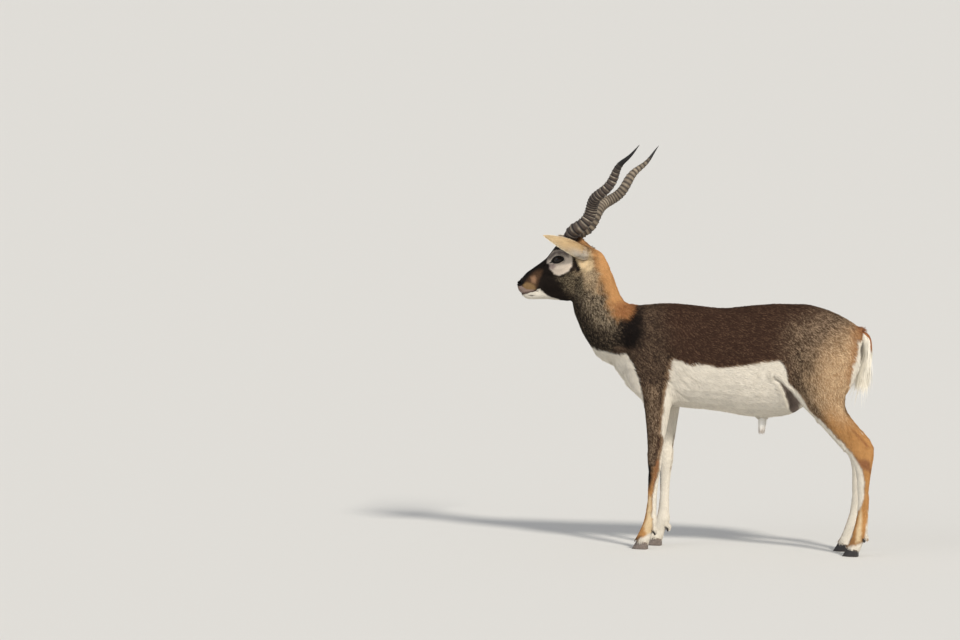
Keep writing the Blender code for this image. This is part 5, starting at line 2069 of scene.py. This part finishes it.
@dataclass(frozen=True)
class Dewclaws:
    """The small horny dewclaws, a pair behind each fetlock."""

    fore: float = -0.112
    hind: float = 0.550
    height: float = 0.060
    apart: float = 0.0085
    line: tuple[Triple, ...] = (
        (-0.012, 0.064, 0.0036), (-0.006, 0.061, 0.0044), (-0.001, 0.057, 0.0044),
        (0.0022, 0.052, 0.0037), (0.0036, 0.047, 0.0027), (0.0040, 0.0445, 0.0010),
    )

    def make(self, limb: Limb, hooves: Hooves, finish: Material) -> Thing:
        """Both dewclaws of one foot.

        Args:
            limb: The leg.
            hooves: Sizes of the hooves, for how far the foot stands from the middle plane.
            finish: Their material.

        Returns:
            The pair as one piece.
        """
        start = (self.fore if limb.fore else self.hind) + float(BUILD.leg_shift(limb, np.array(self.height)))
        turn = circle(16)
        sine, cosine = np.sin(turn), np.cos(turn)
        points = []
        faces = []
        count = 0
        for hand in (-1, 1):
            rings = []
            for ahead, z, r in self.line:
                aside = hooves.apart(limb) + hand * self.apart + r * cosine
                rings.append(np.stack([start + ahead + 0.8 * r * sine, aside, z + 0.6 * r * sine], 1))
            places, parts = sweep(np.array(rings))
            points.append(places)
            faces.extend([parts[0] + count, [tuple(v + count for v in face) for face in parts[1]]])
            count += len(places)
        piece = Maker.piece(f"dewclaws_{limb.value}", np.concatenate(points), faces, finish, "hoof")
        Maker.colour(piece, np.tile(tone(46, 40, 37), (count, 1)))
        return piece


@dataclass
class Locks:
    """Fine tapered locks of hair in one joined piece."""

    roots: Array
    headings: Array
    normals: Array
    falls: Array
    lengths: Array
    widths: Array
    colours: Array
    steps: int = 5
    roll: bool = False
    waves: Array | None = None
    tips: Array | None = None

    def make(self, name: str, finish: Material, slot: str, unwrap: Array) -> Thing:
        """Make the piece, each lock a thin strip with a raised middle.

        Args:
            name: Name of the piece.
            finish: Its material.
            slot: The record's slot, passed on to Maker.piece, which does not use it.
            unwrap: The place of each root on the skin's unwrap.

        Returns:
            The joined locks.
        """
        count = len(self.roots)
        here = self.roots.copy()
        rows = []
        for k in range(self.steps + 1):
            t = k / self.steps
            ahead = unit(self.headings * (1 - t) + self.falls * t)
            broad = unit(np.cross(ahead, self.normals))
            flat = np.cross(broad, ahead)
            w = (self.widths * (0.55 + 0.6 * t) * (1 - t ** 2.4) + 0.00005)[:, None]
            middle = here
            if self.waves is not None:
                swing = self.waves[:, 0] * t * np.sin(self.waves[:, 1] + 5.5 * t)
                middle = here + broad * swing[:, None]
            rows.append(np.stack([middle + broad * w, middle + flat * w * 0.5, middle - broad * w], 1))
            here = here + ahead * (self.lengths / self.steps)[:, None]
        points = np.stack(rows, 1).reshape(-1, 3)
        if self.roll:
            points = BUILD.rolled(points)
        block = (self.steps + 1) * 3
        base = (np.arange(count) * block)[:, None]
        quads = []
        for k in range(self.steps):
            for i in (0, 1):
                quads.append(base + np.array([k * 3 + i, k * 3 + i + 1, k * 3 + i + 4, k * 3 + i + 3]))
        piece = Maker.piece(name, points, [np.concatenate(quads)], finish, slot)
        t = np.linspace(0, 1, self.steps + 1)
        # Each lock is darker at its root, painted shade where the locks cover one another, and a little
        # lighter at its tip.
        shade = self.colours[:, None, None, :] * (0.82 + 0.25 * t)[None, :, None, None]
        if self.tips is not None:
            end = step_between(t, 0.62, 1.0)[None, :, None, None]
            shade = mix(shade, self.tips, end)
        shade = np.broadcast_to(shade, (count, self.steps + 1, 3, 3)).reshape(-1, 3)
        Maker.colour(piece, shade)
        offsets = np.stack(np.meshgrid(np.linspace(-0.5, 0.5, 3), t - 0.5), -1).reshape(-1, 2) * PATCH
        Maker.unwrap(piece, (unwrap[:, None, :] + offsets[None]).reshape(-1, 2))
        return piece


@dataclass
class Tail:
    """The short tail: a haired core, rufous on top, with long white hair below and at its sides."""

    path: tuple[Triple, ...] = (
        (500, 684, 12), (517, 689, 13), (538, 680, 15.5), (545, 657, 13), (544, 634, 9.5), (540, 606, 7),
        (535, 582, 4),
    )
    strands: int = 2500
    around: int = 28
    last: int = 36

    def middle(self) -> tuple[Array, Array]:
        """Points of the core's middle line and its radii."""
        rows = np.array(self.path, dtype=float) * MM
        t = np.linspace(0, len(rows) - 1, self.last + 1)
        line = np.stack([np.interp(t, np.arange(len(rows)), rows[:, axis]) for axis in range(3)], 1)
        for _ in range(6):
            line[1:-1] = (line[:-2] + 2 * line[1:-1] + line[2:]) / 4
        return np.stack([line[:, 0], np.zeros(len(t)), line[:, 1]], 1), line[:, 2]

    def frames(self, points: Array) -> Array:
        """Direction along the core at each of its points."""
        return unit(np.gradient(points, axis=0))

    def tones(self, topward: Array, share: Array) -> Array:
        """Rufous on the upper side of the upper part, white elsewhere."""
        red = step_between(topward, -0.10, 0.40) * (1 - step_between(share, 0.66, 0.82))
        return mix(tone(212, 204, 190), tone(150, 98, 62), red[:, None])

    def core(self, finish: Material) -> Thing:
        """The core under the hair.

        Args:
            finish: Its material.

        Returns:
            The core.
        """
        points, radii = self.middle()
        ahead = self.frames(points)
        across = np.array((0.0, 1.0, 0.0))
        turn = circle(self.around)
        rings = []
        colours = []
        for k, (p, r) in enumerate(zip(points, radii)):
            up = np.cross(ahead[k], across)
            size = (r - 0.003) * (1 if k < self.last else 0.4)
            rings.append(p + np.outer(np.cos(turn), across) * size + np.outer(np.sin(turn), up) * size)
            # The core is painted 20% darker: painted shade under the hair.
            colours.append(self.tones(np.sin(turn), np.full(self.around, k / self.last)) * 0.8)
        return Maker.tube("tail_core", rings, colours, finish, "coat_white", ("tail",))

    def hair(self, finish: Material) -> Thing:
        """The long hair of the tail, ragged at its ends, with a few wisps that hang lower.

        Args:
            finish: The hair's material.

        Returns:
            The hair.
        """
        draw = np.random.default_rng(SEED)
        points, radii = self.middle()
        frames = self.frames(points)
        n = self.strands
        place = 1 + draw.random(n) ** 0.90 * 34
        k = place.astype(int)
        t = (place - k)[:, None]
        here = mix(points[k], points[np.minimum(k + 1, self.last)], t)
        ahead = frames[k]
        across = np.tile((0.0, 1.0, 0.0), (n, 1))
        under = np.cross(across, ahead)
        a = draw.uniform(-math.pi, math.pi, n)
        away = across * np.sin(a)[:, None] + under * np.cos(a)[:, None]
        topward = -np.cos(a)
        share = place / self.last
        r = np.interp(place, np.arange(self.last + 1), radii)
        red = (step_between(topward, 0.00, 0.50) * (1 - step_between(share, 0.62, 0.78))) > draw.random(n)
        roots = here + away * np.where(red, r - 0.0026, r * 0.66)[:, None]
        forward = -0.12 - 0.42 * (1 - step_between(share, 0.25, 0.60)) + draw.normal(0, 0.09, n)
        down = unit(np.stack([forward, draw.normal(0, 0.12, n), -np.ones(n)], 1))
        heading = unit(ahead + away * 0.30 + draw.normal(0, 0.07, (n, 3)))
        later = frames[np.minimum(k + 10, self.last)]
        heading = np.where(red[:, None], unit(ahead + later + away * 0.34), heading)
        fall = unit(down + away * (0.10 - 0.04 * topward)[:, None])
        fall = np.where(red[:, None], unit(later + away * 0.05), fall)
        wisp = draw.random(n) < 0.07
        length = draw.uniform(0.060, 0.095, n) * (0.75 + 0.35 * share)
        length = np.where(wisp & (share > 0.5), length * 1.45, length)
        length = np.where(share < 0.40, length * 0.62, length)
        length = np.where(red, draw.uniform(0.016, 0.028, n), length)
        above = np.where(wisp, roots[:, 2] - 0.455, roots[:, 2] - 0.505 + draw.normal(0, 0.010, n))
        length = np.minimum(length, above)
        width = draw.uniform(0.0006, 0.0012, n) * np.where(wisp, 0.7, 1.0)
        white = tone(250, 244, 230) * draw.uniform(0.90, 1.06, (n, 1))
        rufous = tone(160, 106, 68) * draw.uniform(0.8, 1.12, (n, 1))
        colours = np.where(red[:, None], rufous, white)
        unwrap = np.stack([0.5 + a / (2 * math.pi) * 0.98, 0.02 + share * 0.96], 1)
        waves = np.stack([draw.uniform(0.0005, 0.0035, n) * ~red, draw.uniform(0, 2 * math.pi, n)], 1)
        locks = Locks(roots, heading, away, fall, length, width, colours, 7, waves=waves)
        return locks.make("tail_hair", finish, "coat_white", unwrap)


@dataclass(frozen=True)
class BellyTuft:
    """The blunt brush of white hair that hangs from the middle of the belly."""

    front: float = 0.2010
    back: float = 0.2310
    top: float = 0.426
    low: float = 0.370
    strands: int = 520

    def make(self, finish: Material) -> Thing:
        """Make the tuft.

        Args:
            finish: The hair's material.

        Returns:
            The tuft.
        """
        draw = np.random.default_rng(SEED + 3)
        n = self.strands
        a = draw.uniform(0, 2 * math.pi, n)
        r = np.sqrt(draw.random(n))
        half = (self.back - self.front) / 2
        out = np.stack([np.cos(a), np.sin(a), np.zeros(n)], 1)
        roots = np.array(((self.front + self.back) / 2, -0.001, self.top)) + out * (r * half * 0.9)[:, None]
        roots[:, 2] += draw.uniform(-0.008, 0.004, n)
        fall = unit(np.stack([np.full(n, -0.05), np.zeros(n), -np.ones(n)], 1) - out * (0.13 * r)[:, None])
        heading = unit(fall + out * 0.10)
        length = (self.top - self.low) * draw.uniform(0.80, 1.0, n)
        shade = tone(253, 250, 243) * draw.uniform(0.94, 1.04, (n, 1))
        width = draw.uniform(0.0008, 0.0014, n)
        locks = Locks(roots, heading, unit(out), fall, length, width, shade, 5)
        locks.tips = tone(178, 164, 152)
        unwrap = np.stack([a / (2 * math.pi) * 0.98 + 0.01, 0.02 + r * 0.96], 1)
        return locks.make("belly_tuft", finish, "coat_white", unwrap)


@dataclass
class Coat:
    """Short tufts all over the skin, each a thin blade that follows the lie of the hair."""

    flesh: Flesh
    markings: Markings
    lift: float = math.radians(9.0)
    most: int = 32500
    most_of_all: int = 205000

    def regions(self) -> dict[str, Array]:
        """Stretches of the skin, each the coat of one piece, as masks over its points."""
        x = self.flesh.sheet.points[:, 0]
        left = self.flesh.sheet.points[:, 1] < 0
        part = self.flesh.part
        head = part == Part.HEAD.number
        neck = part == Part.NECK.number
        leg = part >= Part.ARM.number
        out = {"head_left": head & left, "head_right": head & ~left, "neck": neck}
        body = ~head & ~neck & ~leg
        for word, mask in (("chest", x < 0.0), ("belly", (x >= 0.0) & (x < 0.26)), ("rump", x >= 0.26)):
            out[word + "_left"] = body & mask & left
            out[word + "_right"] = body & mask & ~left
        for k, limb in enumerate(Limb):
            out[limb.value] = leg & (self.flesh.limb == k)
        return out

    @staticmethod
    def fringe(flesh: Flesh) -> Array:
        """How much longer the hair is over the hooves and behind the fetlocks, as a share.

        Args:
            flesh: The skin.

        Returns:
            A share a point of the skin.
        """
        seen = flesh.left_axes(flesh.sheet.points, flesh.limb, flesh.head_share()) / MM
        fore = seen[:, 0] < 200
        foot = flesh.part >= Part.FORE_CANNON.number
        over_hoof = step_between(-seen[:, 2], -44, -33) * np.where(fore, 1.6, 0.7)
        behind = np.where(fore, seen[:, 0] + 128, seen[:, 0] - 538)
        heel = np.exp(-(((seen[:, 2] - 74) / 14) ** 2)) * step_between(behind, 0, 14) * 0.9
        return np.maximum(over_hoof, heel) * foot

    def make(self, finish: Material) -> int:
        """Cover the skin.

        Args:
            finish: The coat's material.

        Returns:
            How many tufts there are.
        """
        flesh = self.flesh
        tris = flesh.sheet.triangles()
        points = flesh.sheet.points
        normals = flesh.sheet.normals()
        lie = flesh.lie()
        length = flesh.sheet.spread(flesh.by_part(lambda part: part.length), 16) * MM
        width = flesh.sheet.spread(flesh.by_part(lambda part: part.width), 16) * MM
        near_root = flesh.near_roots()
        hollow = flesh.hollows()
        small = 1 - 0.42 * step_between(-points[:, 0], 0.43, 0.53) * (flesh.part == Part.HEAD.number)
        length = length * small * (1 + 1.5 * near_root) * (1 + self.fringe(flesh))
        width = width * (0.4 + 0.6 * small)
        around = flesh.surround()
        ground, fleck, share = self.markings.tints(**around)
        a, b, c = (points[tris[:, k]] for k in range(3))
        area = np.linalg.norm(np.cross(b - a, c - a), axis=1) / 2
        cover = flesh.by_part(lambda part: part.cover)
        cover = cover * (1 - flesh.bare()) * (1 + near_root)
        wanted = area / (length * width)[tris].mean(axis=1) * cover[tris].mean(axis=1) / 0.62
        thin = min(1.0, self.most_of_all / wanted.sum())
        total = 0
        for order, (name, mask) in enumerate(self.regions().items()):
            draw = np.random.default_rng(SEED + 100 + order)
            here = mask[tris].sum(axis=1) >= 2
            mine = tris[here]
            want = wanted[here] * thin
            scale = thin * min(1.0, self.most / max(1.0, want.sum()))
            want = want * scale / thin
            number = np.floor(want + draw.random(len(want))).astype(int)
            pick = np.repeat(np.arange(len(mine)), number)
            n = len(pick)
            u, v = draw.random((2, n))
            over = u + v > 1
            u = np.where(over, 1 - u, u)
            v = np.where(over, 1 - v, v)
            w = np.stack([1 - u - v, u, v], 1)
            corner = mine[pick]

            def mixed(values: Array) -> Array:
                """Values of the skin's points, read where the tufts stand."""
                read = values[corner]
                return (read * (w[:, :, None] if read.ndim == 3 else w)).sum(axis=1)

            root = mixed(points)
            up = unit(mixed(normals))
            flow = mixed(lie)
            flow = unit(flow - up * (flow * up).sum(axis=1, keepdims=True))
            side = np.cross(up, flow)
            sway = draw.normal(0, 0.16, n)[:, None]
            flow = unit(flow + side * sway)
            side = np.cross(up, flow)
            grown = scale ** -0.3
            long = mixed(length) * draw.uniform(0.75, 1.25, n) * grown
            wide = mixed(width) * draw.uniform(0.75, 1.25, n) * grown / 2
            lift = self.lift * draw.uniform(0.5, 1.5, n) * (1 + 2.0 * mixed(near_root) + 1.5 * mixed(hollow))
            rise = (np.cos(lift)[:, None] * flow + np.sin(lift)[:, None] * up)
            settle = (np.cos(lift * 0.1)[:, None] * flow + np.sin(lift * 0.1)[:, None] * up)
            foot = root - up * 0.0003
            mid = foot + rise * (long * 0.55)[:, None]
            tip = mid + settle * (long * 0.45)[:, None]
            wide = wide[:, None]
            arch = up * wide * 0.55
            blade = np.stack([
                foot - side * wide * 0.8, foot + arch * 0.8, foot + side * wide * 0.8,
                mid - side * wide, mid + arch, mid + side * wide, tip,
            ], 1)
            base = (np.arange(n) * 7)[:, None]
            faces = [base + np.array(row) for row in ((0, 1, 4, 3), (1, 2, 5, 4))]
            ends = [base + np.array(row) for row in ((3, 4, 6), (4, 5, 6))]
            piece = Maker.piece(f"coat_{name}", blade.reshape(-1, 3),
                                [np.concatenate(faces), np.concatenate(ends)], finish, "coat_dark")
            shades = self.shades(root, mixed(ground), mixed(fleck), mixed(share), draw)
            Maker.colour(piece, shades.reshape(-1, 3))
            Maker.unwrap(piece, self.patches(root))
            total += n
            LOG.info("coat of %s: %d tufts, thinned to %.2f", name, n, scale)
        return total

    @staticmethod
    def shades(root: Array, ground: Array, fleck: Array, share: Array,
               draw: np.random.Generator) -> Array:
        """Colours along each tuft: dark at its root as painted shade, and pale near the tip where it is one
        of the flecks.

        Args:
            root: Where the tufts stand.
            ground: Colour of most hairs there.
            fleck: Colour of the flecks there.
            share: Share of the flecks there.
            draw: Source of random numbers.

        Returns:
            Seven colours a tuft.
        """
        n = len(ground)
        bunch = 0.62 * speckle(root, 0.0036, 31) + 0.38 * speckle(root, 0.0019, 41)
        pale = draw.random(n) < share * np.clip(1 + 2.6 * bunch, 0, 3)
        amount = np.where(pale, draw.uniform(0.6, 1.1, n), draw.uniform(0.0, 0.12, n))
        along = np.array((0.0, 0.0, 0.0, 0.16, 0.20, 0.16, 1.1))
        pale_share = np.clip(amount[:, None] * along[None] * 1.1, 0, 1)[:, :, None]
        colour = mix(ground[:, None, :], fleck[:, None, :], pale_share)
        vary = 0.04 + 0.10 * (1 - np.clip(ground.mean(axis=1) / 0.45, 0, 1))
        # Darker at the root, painted shade where the tufts cover one another; lighter along the raised middle
        # and at the tip.
        fade = np.array((-2.0, -1.8, -2.0, 0.0, 0.3, 0.0, 0.8))
        colour = colour * (1 + fade[None] * vary[:, None])[:, :, None]
        return colour * (1 + draw.uniform(-1, 1, n) * vary)[:, None, None]

    def patches(self, root: Array) -> Array:
        """A small patch for each tuft, on an unwrap of the skin round the stretch's own long axis.

        Args:
            root: Where the tufts stand.

        Returns:
            Seven places on the map a tuft.
        """
        middle = root.mean(axis=0)
        _, _, axes = np.linalg.svd(root[:: max(1, len(root) // 4000)] - middle, full_matrices=False)
        local = (root - middle) @ axes.T
        around = np.arctan2(local[:, 2], local[:, 1]) / (2 * math.pi) + 0.5
        along = (local[:, 0] - local[:, 0].min()) / np.ptp(local[:, 0])
        place = np.stack([around, along], 1) * 0.99 + 0.005
        shape = ((-0.5, -0.5), (0, -0.5), (0.5, -0.5), (-0.5, 0), (0, 0), (0.5, 0), (0, 0.5))
        return (place[:, None, :] + (np.array(shape) * PATCH)[None]).reshape(-1, 2)


@dataclass(frozen=True)
class PhotoCamera:
    """The photograph's long lens: its turn, its height and the scale of its frame."""

    yaw: float = math.radians(10.0)
    elevation: float = math.radians(4.5)
    roll: float = math.radians(0.8)
    scale: float = 320.0
    origin: tuple[float, float] = (692.5, 548.8)
    frame_size: tuple[int, int] = (960, 640)
    distance: float = 20.0
    sensor: float = 36.0
    aim: Vector = Vector((0.0, 0.0, 0.62))

    def axes(self) -> tuple[Vector, Vector, Vector]:
        """Right, up and back directions of the picture, with the roll."""
        right = Vector((math.cos(self.yaw), math.sin(self.yaw), 0))
        back = Vector((math.sin(self.yaw) * math.cos(self.elevation),
                       -math.cos(self.yaw) * math.cos(self.elevation), math.sin(self.elevation)))
        up = back.cross(right)
        turned_right = right * math.cos(self.roll) + up * math.sin(self.roll)
        turned_up = up * math.cos(self.roll) - right * math.sin(self.roll)
        return turned_right, turned_up, back

    def make(self) -> Thing:
        """Set up the camera and make it the scene's."""
        right, up, back = self.axes()
        middle_x = (self.frame_size[0] / 2 - self.origin[0]) / self.scale
        middle_z = (self.origin[1] - self.frame_size[1] / 2) / self.scale
        target = self.aim + right * (middle_x - self.aim.dot(right)) + up * (middle_z - self.aim.dot(up))
        place = self.aim + back * self.distance
        ahead = (target - place).normalized()
        across = ahead.cross(up).normalized()
        data = bpy.data.cameras.new("camera")
        data.sensor_width = self.sensor
        data.lens = self.scale * self.distance * self.sensor / self.frame_size[0]
        data.clip_end = 100.0
        camera = add_object("camera", data)
        turn = Matrix((across, across.cross(ahead), -ahead)).transposed()
        camera.matrix_world = Matrix.Translation(place + BUILD.offset()) @ turn.to_4x4()
        bpy.context.scene.camera = camera
        return camera


@dataclass(frozen=True)
class Studio:
    """A plain pale floor and plain soft light."""

    floor_size: float = 400.0
    world: float = 0.47

    def lamp(self, name: str, turn: float, height: float, spread: float, power: float,
             colour: Triple) -> None:
        """One broad far lamp, by its turn to the right of the animal's side and its height in degrees.

        Args:
            name: Name of the lamp.
            turn: Its turn to the right, in degrees.
            height: Its height above the floor, in degrees.
            spread: How broad it looks, in degrees.
            power: Its strength.
            colour: Its colour.
        """
        data = bpy.data.lights.new(name, "SUN")
        data.angle = math.radians(spread)
        data.energy = power
        data.color = colour
        lamp = add_object(name, data)
        across, rise = math.radians(turn), math.radians(height)
        level = math.cos(rise)
        toward = Vector((math.sin(across) * level, -math.cos(across) * level, math.sin(rise)))
        lamp.location = toward * 6.0
        lamp.rotation_euler = (-toward).to_track_quat("-Z", "Y").to_euler()

    def make(self) -> None:
        """Set up the floor, the lamps and the light of the room."""
        half = self.floor_size / 2
        mesh = bpy.data.meshes.new("floor")
        mesh.from_pydata([(-half, -half, 0), (half, -half, 0), (half, half, 0), (-half, half, 0)], [],
                         [(0, 1, 2, 3)])
        mesh.materials.append(FloorFinish().make())
        add_object("floor", mesh)
        self.lamp("key", 42, 41, 9, 2.95, (1.0, 0.95, 0.87))
        self.lamp("fill", -40, 25, 50, 0.50, (0.96, 0.97, 1.0))
        world = bpy.data.worlds.new("room")
        bpy.context.scene.world = world
        world.use_nodes = True
        sky = world.node_tree.nodes["Background"]
        sky.inputs["Color"].default_value = (0.93, 0.95, 1.0, 1.0)
        sky.inputs["Strength"].default_value = self.world
        bpy.context.scene.view_settings.view_transform = "Standard"


def report(*pieces: Thing) -> None:
    """Log the name and the size of each finished piece."""
    for piece in pieces:
        LOG.info("%s: %d faces", piece.name, len(piece.data.polygons))


def main() -> None:
    """Build the animal piece by piece and report each."""
    logging.basicConfig(level=logging.INFO, format="%(name)s %(relativeCreated)7d ms: %(message)s")
    PhotoCamera().make()
    Studio().make()
    markings = Markings()
    fur = FurFinish("short_fur").make()
    hair = FurFinish("coat_tufts", contrast=0.10, relief=0.0).make()
    flesh = Flesh()
    flesh.form()
    report(flesh.dress(markings, fur))
    horns = Horns()
    horn = HornFinish().make()
    ears = Ears()
    eyes = Eyes()
    wet = EyeFinish().make()
    bare = WetSkinFinish().make()
    for side in Side:
        report(horns.make(side, horn), ears.make(side, fur), ears.hair(side, hair), eyes.ball(side, wet),
               eyes.rim(side, bare))
    hooves = Hooves()
    hoof = HoofFinish().make()
    for limb in Limb:
        report(hooves.claw(limb, -1, hoof), hooves.claw(limb, 1, hoof), Dewclaws().make(limb, hooves, hoof))
    tail = Tail()
    report(tail.core(fur), tail.hair(hair), BellyTuft().make(hair))
    LOG.info("coat: %d tufts", Coat(flesh, markings).make(hair))


if __name__ == "__main__":
    main()
